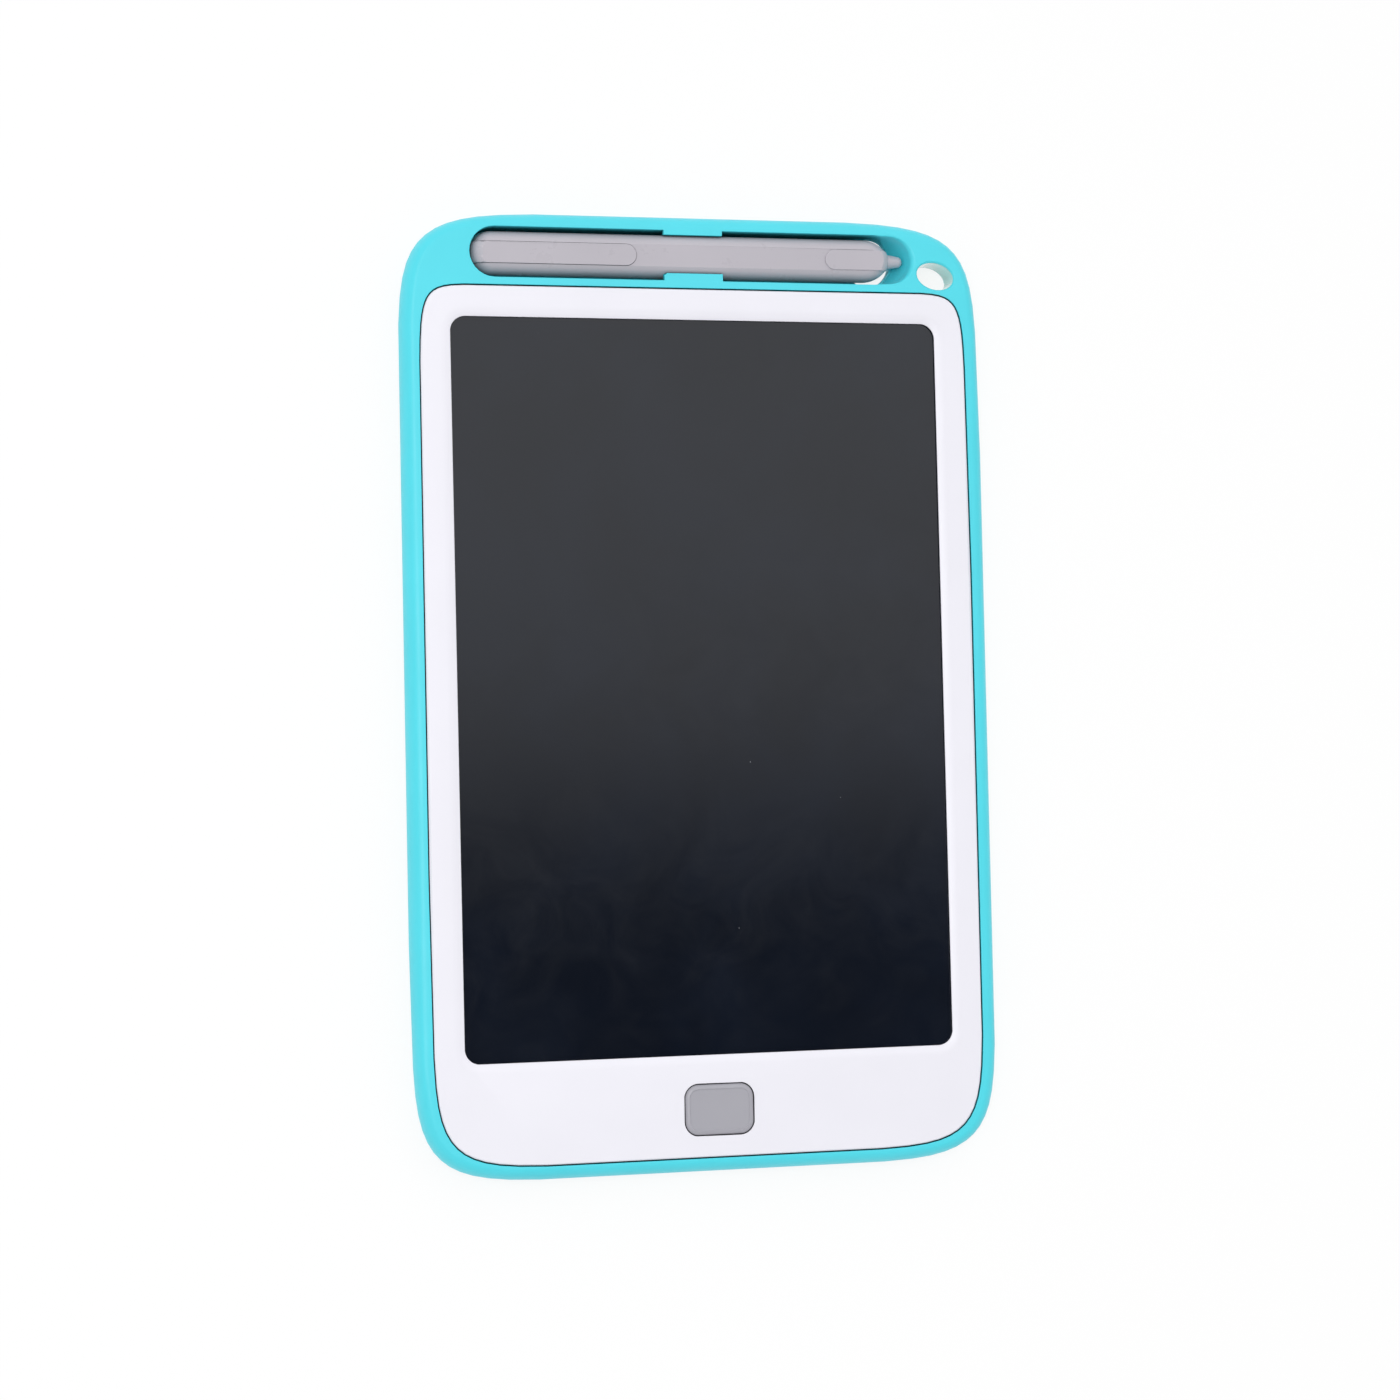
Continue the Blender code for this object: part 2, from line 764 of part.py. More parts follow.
    pockets = bmesh.new()
    edge = cell_y + door_upper_reach
    for side in (-1, 1):
        middle = cell_x + side * tab_offset
        half = tab_width / 2 + fit_gap
        pocket_end = edge + fit_gap * 2 + tab_length
        pocket_start = edge - fit_gap - tab_swing_room
        pocket_top = cell_level + fit_gap + tab_swing_room
        add_block(pockets, middle - half, middle + half, pocket_start, pocket_end, tab_lip, pocket_top)
    notch_left = cell_x - cell_radius - contact_thickness - fit_gap * 2
    notch_half = contact_width / 2 + fit_gap
    add_block(
        pockets, notch_left, cell_x - cell_radius + overrun, cell_y - notch_half, cell_y + notch_half,
        cell_level - fit_gap, well_level + overrun,
    )
    cut(shell, place_object("pocket_cutter", pockets))
    cut(shell, groove_cutter())
    cut(shell, through_hole)
    return paint(shell, teal)


def lock_pad_top():
    return lock_recess_depth + lock_pad_thickness


def door_outline(growth, upper_growth):
    """The battery door's outline, grown on all sides and once more on the side of its tabs."""
    half_y = (door_upper_reach + door_lower_reach + upper_growth) / 2 + growth
    middle_y = cell_y + (door_upper_reach - door_lower_reach + upper_growth) / 2
    return rounded_rectangle(cell_x, middle_y, door_half_width + growth, half_y, door_radius + growth)


def groove_cutter():
    """The round-ended space around the stylus, which makes the floor of the channel."""
    profile = []
    for step in range(bowl_steps + 1):
        turn = math.radians(90) * step / bowl_steps
        radius = groove_radius - pen_end_round * (1 - math.sin(turn))
        profile.append((radius, pen_end_round * (1 - math.cos(turn))))
    profile.append((groove_radius, slot_left + finger_hole_x))
    mesh = bmesh.new()
    add_turned(mesh, profile, along_pen(-slot_left), pen_steps)
    return place_object("groove_cutter", mesh)


def along_pen(start_x):
    """A placing matrix whose Z axis runs along the stylus, from a start on its axis."""
    turn = Matrix.Rotation(math.radians(90), 4, "Y")
    return Matrix.Translation((start_x, pen_axis_y, pen_axis_level)) @ turn


def post_places():
    left = -board_left + post_edge
    right = board_right - post_edge
    low = board_bottom + post_edge
    high = board_top - post_edge
    return [(left, high), (left, low), (right, low)]


# White bezel with the window, its chamfer and the pocket that holds the display
def bezel():
    mesh = bmesh.new()
    outer = inset(bezel_outline(), fit_gap)
    pocket = window_outline(panel_margin + fit_gap)
    rings = [
        ring(outer, bezel_level),
        ring(outer, case_depth - bezel_edge_round),
        ring(inset(outer, bezel_edge_round), case_depth),
        ring(window_outline(window_chamfer_width), case_depth),
        ring(window_outline(0), case_depth - window_chamfer_depth),
        ring(window_outline(0), lip_underside),
        ring(pocket, lip_underside),
        ring(pocket, bezel_level),
    ]
    add_loft(mesh, rings, closed=True)
    frame = place_object("bezel", mesh)
    hole = bmesh.new()
    hole_outline = rounded_rectangle(
        button_x, button_y, button_hole_width / 2, button_hole_length / 2, button_hole_radius, button_steps
    )
    add_prism(hole, hole_outline, bezel_level - overrun, case_depth + overrun)
    cut(frame, place_object("button_hole_cutter", hole))
    return paint(frame, white)


# Display: the film panel, a black sheet behind it and the plate that backs both
def lcd_panel():
    mesh = bmesh.new()
    add_prism(mesh, window_outline(panel_margin), panel_level, panel_level + panel_thickness)
    return paint(place_object("lcd_panel", mesh), screen_black)


def stack_outline(growth):
    """The outline of what lies behind the panel, short of it where the display tail comes out."""
    half_x = window_width / 2 + panel_margin - sheet_inset + growth
    top = window_length / 2 + panel_margin - sheet_inset + growth
    bottom = window_length / 2 + panel_margin - stack_bottom_inset + growth
    middle_y = window_middle_y + (top - bottom) / 2
    return rounded_rectangle(0, middle_y, half_x, (top + bottom) / 2, panel_radius)


def backing_sheet():
    mesh = bmesh.new()
    add_prism(mesh, stack_outline(0), sheet_level, sheet_level + sheet_thickness)
    return paint(place_object("backing_sheet", mesh), matt_black)


def support_plate():
    mesh = bmesh.new()
    add_prism(mesh, stack_outline(0), plate_level, plate_level + plate_thickness)
    plate = place_object("support_plate", mesh)
    slots = bmesh.new()
    for row in range(plate_slot_count):
        y = window_middle_y + (row - (plate_slot_count - 1) / 2) * plate_slot_pitch_y
        for column in (-1, 0, 1):
            x = column * plate_slot_pitch_x
            half = plate_slot_length / 2
            slot = stadium(x - half, x + half, y, plate_slot_width, small_corner_steps)
            add_prism(slots, slot, plate_level - overrun, plate_level + plate_thickness + overrun)
    cut(plate, place_object("plate_slot_cutter", slots))
    return paint(plate, matt_black)


def display_tail():
    """A thin strip that leaves the panel's lower edge and curves down to the board."""
    start_y = window_middle_y - window_length / 2 - panel_margin + tail_overlap
    end_y = start_y - tail_overlap - tail_landing * 2
    high = panel_level - fit_gap - tail_thickness
    low = board_face + fit_gap
    bend_start = start_y - tail_bond
    bend_end = end_y + tail_landing
    upper = [Vector((0, start_y, high)), Vector((0, bend_start, high))]
    for step in range(1, tail_steps):
        share = step / tail_steps
        fall = (1 - math.cos(math.pi * share)) / 2
        upper.append(Vector((0, bend_start + (bend_end - bend_start) * share, high + (low - high) * fall)))
    upper.append(Vector((0, bend_end, low)))
    upper.append(Vector((0, end_y, low)))
    lower = [point + Vector((0, 0, tail_thickness)) for point in reversed(upper)]
    left = [point + Vector((tail_x - tail_width / 2, 0, 0)) for point in upper + lower]
    right = [point + Vector((tail_width, 0, 0)) for point in left]
    mesh = bmesh.new()
    add_loft(mesh, [left, right])
    return paint(place_object("display_tail", mesh), copper)


# Controller board and what is soldered to it
def controller_board():
    mesh = bmesh.new()
    middle_x = (board_right - board_left) / 2
    middle_y = (board_top + board_bottom) / 2
    half_x = (board_right + board_left) / 2
    half_y = (board_top - board_bottom) / 2
    board_outline = rounded_rectangle(middle_x, middle_y, half_x, half_y, board_radius)
    add_prism(mesh, board_outline, board_level, board_face)
    board = place_object("controller_board", mesh)
    holes = bmesh.new()
    for x, y in post_places():
        hole = cylinder_profile(pin_radius + fit_gap, board_level - overrun, board_face + overrun)
        add_turned(holes, hole, upright(x, y), round_steps)
    cut(board, place_object("board_hole_cutter", holes))
    return paint(board, board_green)


def driver_chip():
    mesh = bmesh.new()
    low = board_face + fit_gap
    outline_points = rounded_rectangle(chip_x, chip_y, chip_width / 2, chip_length / 2, fit_gap)
    add_loft(mesh, [
        ring(outline_points, low),
        ring(outline_points, low + chip_height / 2),
        ring(inset(outline_points, fit_gap / 2), low + chip_height),
    ])
    return paint(place_object("driver_chip", mesh), matt_black)


def boost_coil():
    """A small wound inductor: a waisted drum between two rims."""
    low = board_face + fit_gap
    profile = [
        (coil_radius, low), (coil_radius, low + coil_rim_height), (coil_core_radius, low + coil_rim_height),
        (coil_core_radius, low + coil_height - coil_rim_height),
        (coil_radius, low + coil_height - coil_rim_height), (coil_radius, low + coil_height),
    ]
    mesh = bmesh.new()
    add_turned(mesh, profile, upright(coil_x, chip_y), round_steps)
    return paint(place_object("boost_coil", mesh), copper)


def erase_switch_body():
    mesh = bmesh.new()
    half = switch_width / 2
    outline_points = rounded_rectangle(button_x, button_y, half, half, fit_gap)
    add_prism(mesh, outline_points, board_face + fit_gap, switch_top)
    body = place_object("erase_switch_body", mesh)
    bore = bmesh.new()
    bore_low = switch_top - plunger_depth - fit_gap
    profile = cylinder_profile(plunger_radius + fit_gap, bore_low, switch_top + overrun)
    add_turned(bore, profile, upright(button_x, button_y), round_steps)
    cut(body, place_object("switch_bore_cutter", bore))
    return paint(body, matt_black)


def erase_switch_plunger():
    mesh = bmesh.new()
    low = switch_top - plunger_depth + button_travel
    profile = cylinder_profile(plunger_radius, low, plunger_top)
    add_turned(mesh, profile, upright(button_x, button_y), round_steps)
    return paint(place_object("erase_switch_plunger", mesh), white)


def erase_button(mover):
    """The cap: a pillowed top with a round edge, and a flange that keeps it behind the bezel."""
    half_x = button_hole_width / 2 - fit_gap
    half_y = button_hole_length / 2 - fit_gap
    cap = rounded_rectangle(button_x, button_y, half_x, half_y, button_hole_radius - fit_gap, button_steps)
    flange = inset(cap, -button_flange_width - fit_gap)
    top = case_depth + button_proud
    rings = [ring(flange, flange_level), ring(flange, flange_top), ring(cap, flange_top)]
    for step in range(button_edge_steps + 1):
        turn = math.radians(90) * step / button_edge_steps
        drop = button_edge_round * (1 - math.sin(turn))
        rings.append(ring(inset(cap, button_edge_round * (1 - math.cos(turn))), top - drop))
    mesh = bmesh.new()
    add_loft(mesh, rings)
    return ride(paint(place_object("erase_button", mesh), grey), mover)


# Coin cell, its two spring contacts, and the door that closes the well
def coin_cell():
    low = cell_level
    rim = cell_cap_height
    profile = [
        (cell_radius - rim, low), (cell_radius, low + rim), (cell_radius, low + cell_thickness - rim * 2),
        (cell_radius - rim, low + cell_thickness - rim), (cell_cap_radius, low + cell_thickness - rim),
        (cell_cap_radius - rim, low + cell_thickness),
    ]
    mesh = bmesh.new()
    add_turned(mesh, profile, upright(cell_x, cell_y), round_steps * 2)
    return paint(place_object("coin_cell", mesh), steel)


def ribbon(name, path, middle_y):
    """A sheet metal strip that follows a path of (x, level) points."""
    mesh = bmesh.new()
    under = [Vector((x, 0, level)) for x, level in path]
    directions = [(after - before).normalized() for before, after in zip(under, under[1:])]
    over = []
    for index, point in enumerate(under):
        before = directions[max(index - 1, 0)]
        after = directions[min(index, len(directions) - 1)]
        normal_before = Vector((-before.z, 0, before.x))
        normal_after = Vector((-after.z, 0, after.x))
        reach = contact_thickness / (1 + normal_before.dot(normal_after))
        over.append(point + (normal_before + normal_after) * reach)
    side = under + list(reversed(over))
    near = [point + Vector((0, middle_y - contact_width / 2, 0)) for point in side]
    far = [point + Vector((0, contact_width, 0)) for point in near]
    add_loft(mesh, [near, far])
    return paint(place_object(name, mesh), steel)


def cell_contacts():
    foot_level = board_face + fit_gap
    foot_start = board_right - contact_foot
    leg_x = cell_x - cell_radius - fit_gap - contact_thickness
    positive = [(foot_start, foot_level), (leg_x, foot_level), (leg_x, cell_level + fit_gap)]
    touch_level = cell_level + cell_thickness + fit_gap
    negative = [
        (foot_start, foot_level), (board_right, foot_level),
        (cell_x - cell_radius / 2, foot_level + contact_arch), (cell_x - contact_touch, touch_level),
        (cell_x, touch_level), (cell_x + contact_foot / 2, foot_level),
    ]
    return [
        ribbon("cell_contact_positive", positive, cell_y),
        ribbon("cell_contact_negative", negative, cell_y + contact_drop_y),
    ]


def battery_door(mover):
    mesh = bmesh.new()
    low = door_recess
    high = door_recess + door_thickness
    add_prism(mesh, door_outline(0, 0), low, high)
    door = place_object("battery_door", mesh)
    tabs = bmesh.new()
    edge = cell_y + door_upper_reach
    for side in (-1, 1):
        middle = cell_x + side * tab_offset
        add_block(
            tabs, middle - tab_width / 2, middle + tab_width / 2, edge - overrun, edge + fit_gap + tab_length,
            high - tab_thickness, high,
        )
    join(door, place_object("tab_guide", tabs))
    screw_hole = bmesh.new()
    at_screw = upright(cell_x, cell_y - door_screw_offset)
    head_room = door_screw_head_height + door_recess + fit_gap
    profile = [
        (door_screw_head_radius + fit_gap, -overrun), (door_screw_head_radius + fit_gap, head_room),
        (door_screw_radius + fit_gap, head_room), (door_screw_radius + fit_gap, high + overrun),
    ]
    add_turned(screw_hole, profile, at_screw, round_steps)
    cut(door, place_object("door_screw_cutter", screw_hole))
    return ride(paint(door, teal), mover)


def screw(name, x, y, head_low, head_radius, head_height, shank_radius, shank_length):
    """A cap screw whose head faces the back, with a chamfer round its head and on its tip."""
    head_top = head_low + head_height
    tip = shank_radius / 2
    profile = [
        (head_radius - tip, head_low), (head_radius, head_low + tip), (head_radius, head_top),
        (shank_radius, head_top), (shank_radius, head_top + shank_length - tip),
        (tip, head_top + shank_length),
    ]
    mesh = bmesh.new()
    add_turned(mesh, profile, upright(x, y), round_steps)
    return paint(place_object(name, mesh), steel)


def case_screws():
    head_low = screw_well_depth - fit_gap - screw_head_height
    return [
        screw(
            f"case_screw_{index}", x, y, head_low, screw_head_radius, screw_head_height,
            screw_radius, screw_length,
        )
        for index, (x, y) in enumerate(screw_places(), start=1)
    ]


# Screen lock: a slider in the back, the lever it carries along and the switch on the board
def lock_switch_body():
    mesh = bmesh.new()
    low = board_face + fit_gap
    middle_x = lock_x + lock_travel / 2
    far = board_top - fit_gap
    near = far - lock_switch_width
    half = lock_switch_length / 2
    add_block(mesh, middle_x - half, middle_x + half, near, far, low, low + lock_switch_height)
    body = place_object("lock_switch_body", mesh)
    slot = bmesh.new()
    slot_half = (lever_width + lock_travel) / 2 + fit_gap
    add_block(
        slot, middle_x - slot_half, middle_x + slot_half, far - lock_switch_width / 2,
        board_top + overrun, lever_low() - fit_gap, lever_low() + lever_height + fit_gap,
    )
    cut(body, place_object("lever_slot_cutter", slot))
    return paint(body, matt_black)


def lever_low():
    return board_face + fit_gap + (lock_switch_height - lever_height) / 2


def lock_switch_lever(mover):
    mesh = bmesh.new()
    start = board_top - lock_switch_width / 2
    add_block(
        mesh, lock_x - lever_width / 2, lock_x + lever_width / 2, start, board_top + lever_reach,
        lever_low(), lever_low() + lever_height,
    )
    return ride(paint(place_object("lock_switch_lever", mesh), white), mover)


def lock_slider(mover):
    """Knob, stem, retaining flange and the fork that holds the lever, with grip grooves outside."""
    mesh = bmesh.new()
    knob_low = door_recess
    knob_high = knob_low + lock_knob_thickness
    add_prism(
        mesh,
        rounded_rectangle(lock_x, lock_y, lock_knob_length / 2, lock_knob_width / 2, lock_knob_radius),
        knob_low, knob_high,
    )
    slider = place_object("lock_slider", mesh)
    stem = bmesh.new()
    flange_low = lock_pad_top() + fit_gap
    stem_half_x = lock_stem_length / 2
    stem_half_y = lock_stem_width / 2
    add_block(
        stem, lock_x - stem_half_x, lock_x + stem_half_x, lock_y - stem_half_y, lock_y + stem_half_y,
        knob_high - fit_gap, flange_low + fit_gap / 2,
    )
    join(slider, place_object("stem_guide", stem))
    flange = bmesh.new()
    flange_half = lock_flange_width / 2
    add_block(
        flange, lock_x - stem_half_x, lock_x + stem_half_x, lock_y - flange_half, lock_y + flange_half,
        flange_low, flange_low + lock_flange_thickness,
    )
    join(slider, place_object("flange_guide", flange))
    fork = bmesh.new()
    fork_top = lever_low() + lever_height
    fork_near = board_top + fit_gap * 2
    for side in (-1, 1):
        inner = lever_width / 2 + fit_gap
        edges = sorted((lock_x + side * inner, lock_x + side * (inner + fork_thickness)))
        add_block(
            fork, edges[0], edges[1], fork_near, lock_y, flange_low + lock_flange_thickness / 2, fork_top
        )
    join(slider, place_object("fork_guide", fork))
    grooves = bmesh.new()
    for index in range(lock_ridge_count):
        middle = lock_x + (index - (lock_ridge_count - 1) / 2) * lock_ridge_width * 2
        half = lock_ridge_width / 2
        half_y = lock_knob_width / 2 - lock_knob_radius
        add_block(
            grooves, middle - half, middle + half, lock_y - half_y, lock_y + half_y,
            knob_low - overrun, knob_low + lock_ridge_depth,
        )
    cut(slider, place_object("grip_cutter", grooves))
    return ride(paint(slider, white), mover)


# Stylus: barrel with its raised nose band, clip that folds over the end, and nib
def pen_profile(growth):
    """Radius along the stylus grown outward: its domed left end, the barrel, and the shoulder."""
    profile = []
    for step in range(bowl_steps + 1):
        turn = math.radians(90) * step / bowl_steps
        radius = pen_radius - pen_end_round + (pen_end_round + growth) * math.sin(turn)
        profile.append((radius, pen_end_round - (pen_end_round + growth) * math.cos(turn)))
    for step in range(shoulder_steps + 1):
        turn = pen_shoulder_turn * step / shoulder_steps
        along = pen_left + pen_shoulder_x + pen_shoulder_radius * math.sin(turn)
        radius = pen_radius - pen_shoulder_radius * (1 - math.cos(turn))
        profile.append((radius + growth, along))
    return profile


def turned_pen(name, growth):
    mesh = bmesh.new()
    add_turned(mesh, pen_profile(growth), along_pen(-pen_left), pen_steps)
    return place_object(name, mesh)


def facet_cutter(name, growth):
    """A block over the stylus that leaves a flat facet on what is grown outward by the growth."""
    mesh = bmesh.new()
    low = pen_axis_level + pen_facet_rise + growth
    reach = pen_radius + overrun
    add_block(
        mesh, -pen_left - overrun, pen_nose_x + overrun, pen_axis_y - reach, pen_axis_y + reach,
        low, pen_axis_level + reach + growth,
    )
    return place_object(name, mesh)


def clip_plan(name, growth):
    """The clip's outline seen from the front, as a block from above the pen to the clip's low end."""
    mesh = bmesh.new()
    points = stadium(
        -pen_left - clip_width * 2, -clip_right + growth, pen_axis_y, clip_width + growth * 2, slot_steps
    )
    add_prism(mesh, points, pen_axis_level - clip_drop - growth, pen_axis_level + pen_radius + overrun)
    return place_object(name, mesh)


def stylus_barrel(mover):
    barrel = turned_pen("stylus_barrel", 0)
    cut(barrel, facet_cutter("barrel_facet_cutter", 0))
    band = turned_pen("nose_band_guide", band_rise)
    strip = bmesh.new()
    strip_outline = stadium(band_left, pen_nose_x + band_width / 2, pen_axis_y, band_width, slot_steps)
    low = pen_axis_level + pen_nose_radius - band_sink
    add_prism(strip, strip_outline, low, pen_axis_level + pen_radius + overrun)
    combine(band, place_object("band_strip_guide", strip), "INTERSECT")
    cut(band, facet_cutter("band_facet_cutter", band_rise))
    join(barrel, band)

    clip_seat = clip_plan("clip_seat_cutter", fit_gap)
    cut(clip_seat, turned_pen("clip_seat_core", clip_rise - clip_thickness - fit_gap))
    cut(barrel, clip_seat)
    socket = bmesh.new()
    socket_start = pen_nose_x - nib_shank_length - fit_gap
    profile = cylinder_profile(nib_shank_radius + fit_gap, 0, nib_shank_length + overrun)
    add_turned(socket, profile, along_pen(socket_start), round_steps)
    cut(barrel, place_object("nib_socket_cutter", socket))
    return ride(paint(barrel, pen_grey), mover)


def stylus_clip(mover):
    """A moulded strip let into the barrel, a little proud of it, that folds over the domed end."""
    clip = turned_pen("stylus_clip", clip_rise)
    combine(clip, clip_plan("clip_plan_guide", 0), "INTERSECT")
    cut(clip, facet_cutter("clip_facet_cutter", clip_rise))
    cut(clip, turned_pen("clip_core_cutter", clip_rise - clip_thickness))
    return ride(paint(clip, pen_grey), mover)


def stylus_nib(mover):
    shoulder = nib_shank_length + fit_gap
    cone = nib_tip_x - pen_nose_x - fit_gap
    profile = [
        (nib_shank_radius, 0), (nib_shank_radius, shoulder), (nib_base_radius, shoulder),
        (nib_cone_radius, shoulder + cone - nib_tip_length),
        (nib_tip_radius, shoulder + cone - nib_flat_radius), (nib_flat_radius, shoulder + cone),
    ]
    mesh = bmesh.new()
    add_turned(mesh, profile, along_pen(pen_nose_x - nib_shank_length), round_steps)
    return ride(paint(place_object("stylus_nib", mesh), pen_grey), mover)


# Flexible lips that hold the stylus down in the channel
def snap_lip(name, side, reach):
    """One lip: its inner face is upright at the top and follows the round space around the pen."""
    wall_y = slot_middle_y + side * (slot_width / 2 - fit_gap)
    edge_y = slot_middle_y + side * (slot_width / 2 - reach)
    edge = abs(edge_y - pen_axis_y)
    low_rise = case_depth - lip_height - pen_axis_level
    edge_rise = math.sqrt(groove_radius ** 2 - edge ** 2)
    section = [(wall_y, case_depth - lip_height)]
    for step in range(lip_steps + 1):
        rise = low_rise + (edge_rise - low_rise) * step / lip_steps
        out = math.sqrt(groove_radius ** 2 - rise ** 2)
        section.append((pen_axis_y + side * out, pen_axis_level + rise))
    section.append((edge_y, case_depth))
    section.append((wall_y, case_depth))
    near = [Vector((-lip_left, y, level)) for y, level in section]
    far = [point + Vector((lip_left + lip_right, 0, 0)) for point in near]
    mesh = bmesh.new()
    add_loft(mesh, [near, far])
    return paint(place_object(name, mesh), teal)


# Joint empties: what moves hangs on one of these
def joint_empty(name, x, y, z):
    mover = bpy.data.objects.new(name, None)
    mover.location = (x, y, z)
    bpy.context.scene.collection.objects.link(mover)
    return mover


def ride(piece, mover):
    """Hangs a piece on its joint's empty without moving it."""
    piece.data.transform(Matrix.Translation(-mover.location))
    for modifier in piece.modifiers:
        hang_tool(modifier.object, mover)
    piece.parent = mover
    return piece


def hang_tool(tool, mover):
    tool.data.transform(Matrix.Translation(-mover.location))
    tool.parent = mover
    for modifier in tool.modifiers:
        hang_tool(modifier.object, mover)


def build():
    for existing in list(bpy.data.objects):
        bpy.data.objects.remove(existing)
    press = joint_empty("erase_press_axis", button_x, button_y, flange_level)
    lift = joint_empty("stylus_lift_axis", 0, pen_axis_y, pen_axis_level)
    hinge_y = cell_y + door_upper_reach + fit_gap
    swing = joint_empty("battery_door_axis", cell_x, hinge_y, door_recess)
    slide = joint_empty("lock_slide_axis", lock_x, lock_y, door_recess)

    through_hole = lanyard_cutter()
    case_front(through_hole)
    case_back(through_hole)
    bezel()
    lcd_panel()
    backing_sheet()
    support_plate()
    display_tail()
    controller_board()
    driver_chip()
    boost_coil()
    erase_switch_body()
    ride(erase_switch_plunger(), press)
    erase_button(press)
    lock_switch_body()
    lock_switch_lever(slide)
    lock_slider(slide)
    coin_cell()
    cell_contacts()
    battery_door(swing)
    ride(
        screw(
            "battery_door_screw", cell_x, cell_y - door_screw_offset, door_recess,
            door_screw_head_radius, door_screw_head_height, door_screw_radius, door_screw_length,
        ),
        swing,
    )
    case_screws()
    stylus_barrel(lift)
    stylus_clip(lift)
    stylus_nib(lift)
    snap_lip("pen_snap_lip_upper", 1, upper_lip_reach)
    snap_lip("pen_snap_lip_lower", -1, lower_lip_reach)
    lift.rotation_euler = (pen_roll, 0, 0)


build()
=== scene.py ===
# %% [markdown]
# # An erasable writing tablet with its pen
#
# The tablet is a slim two-part housing of teal plastic around a white frame and a dark writing film. A grey
# key under the film erases it, and a grey pen lies in a channel along the top edge. The sizes come from the
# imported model, so the first step brings that model in. Everything is in metres, the back lies on Z 0, and
# the screen looks up along +Z.

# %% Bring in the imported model
import math

import bmesh
import bpy
from mathutils import Matrix, Vector


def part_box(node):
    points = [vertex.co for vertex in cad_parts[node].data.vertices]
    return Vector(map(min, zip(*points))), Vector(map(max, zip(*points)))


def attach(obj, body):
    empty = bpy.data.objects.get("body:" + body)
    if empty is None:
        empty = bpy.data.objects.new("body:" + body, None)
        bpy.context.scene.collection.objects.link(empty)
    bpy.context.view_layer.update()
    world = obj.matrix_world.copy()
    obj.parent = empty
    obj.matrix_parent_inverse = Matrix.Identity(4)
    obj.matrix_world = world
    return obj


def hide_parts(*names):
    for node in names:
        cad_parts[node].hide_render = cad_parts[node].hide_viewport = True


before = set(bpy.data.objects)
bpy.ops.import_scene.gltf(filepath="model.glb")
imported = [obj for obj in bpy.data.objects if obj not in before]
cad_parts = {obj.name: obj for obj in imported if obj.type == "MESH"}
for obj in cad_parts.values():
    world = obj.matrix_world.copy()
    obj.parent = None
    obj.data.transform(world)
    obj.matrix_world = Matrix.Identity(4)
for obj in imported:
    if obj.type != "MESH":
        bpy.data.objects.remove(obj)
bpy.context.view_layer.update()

# %% [markdown]
# ## The camera
#
# The photograph looks down on the tablet from its lower left, about 75 cm away, with a long lens, so the
# sides hardly run together. The place and the turn were worked out from the four corners of the screen
# window, whose shape is known. The camera looks along its own -Z, so its three directions become the columns
# of its matrix.

# %% Set up the camera
camera_place = Vector((-0.18327, -0.03273, 0.72667))
camera_forward = Vector((0.24551107, 0.0412382, -0.96851625)).normalized()
rough_up = Vector((0.01297347, 0.99886551, 0.0458191))
camera_right = camera_forward.cross(rough_up).normalized()
camera_up = camera_right.cross(camera_forward)
lens_data = bpy.data.cameras.new("studio_camera")
lens_data.sensor_width = 36.0
lens_data.lens = 78.97
lens_data.clip_start = 0.01
camera = bpy.data.objects.new("studio_camera", lens_data)
bpy.context.scene.collection.objects.link(camera)
turn = Matrix((camera_right, camera_up, -camera_forward)).transposed()
camera.matrix_world = Matrix.Translation(camera_place) @ turn.to_4x4()
bpy.context.scene.camera = camera
bpy.context.scene.view_settings.view_transform = "Standard"
print("camera", round(camera_place.length, 3), "m from the middle of the back")

# %% [markdown]
# ## Wiring materials
#
# A material is a small net of nodes. One helper adds a node, sets what it is given, and joins its inputs:
# a socket is wired, and anything else is written on the input as a plain value. Two more make the nodes that
# every net needs: one brings a value from one range to another, the other reckons with two values. Colours
# are noted as they look on a screen, from 0 to 255, and turned into the amounts of light that the renderer
# works with.


# %% Helpers for materials
def place(tree, kind, inputs=(), **settings):
    """Adds one node to the net, with its settings, its wires and its plain values."""
    node = tree.nodes.new(kind)
    for name, value in settings.items():
        setattr(node, name, value)
    for socket, value in inputs:
        if isinstance(value, bpy.types.NodeSocket):
            tree.links.new(value, node.inputs[socket])
        else:
            node.inputs[socket].default_value = value
    return node


def ramp(tree, value, start, stop, floor=0.0, top=1.0, **settings):
    """The value brought from the range of start to stop to the range of floor to top, and held there."""
    ends = [("Value", value), ("From Min", start), ("From Max", stop), ("To Min", floor), ("To Max", top)]
    return place(tree, "ShaderNodeMapRange", ends, **settings).outputs["Result"]


def reckon(tree, operation, first, second):
    """The result of one sum of two values."""
    return place(tree, "ShaderNodeMath", [(0, first), (1, second)], operation=operation).outputs["Value"]


def blank_material(name):
    """A new material and its empty net."""
    material = bpy.data.materials.new(name)
    material.use_nodes = True
    material.node_tree.nodes.clear()
    return material, material.node_tree


def light_of(red, green, blue):
    """The light that a colour of the screen stands for."""
    def one(level):
        level /= 255
        return level / 12.92 if level <= 0.04045 else ((level + 0.055) / 1.055) ** 2.4
    return one(red), one(green), one(blue), 1.0


def shaded(colour, amount):
    """The same colour, a little darker or lighter."""
    return tuple(min(channel * amount, 1.0) for channel in colour[:3]) + (1.0,)


print("middle grey is", [round(channel, 3) for channel in light_of(128, 128, 128)], "of full light")

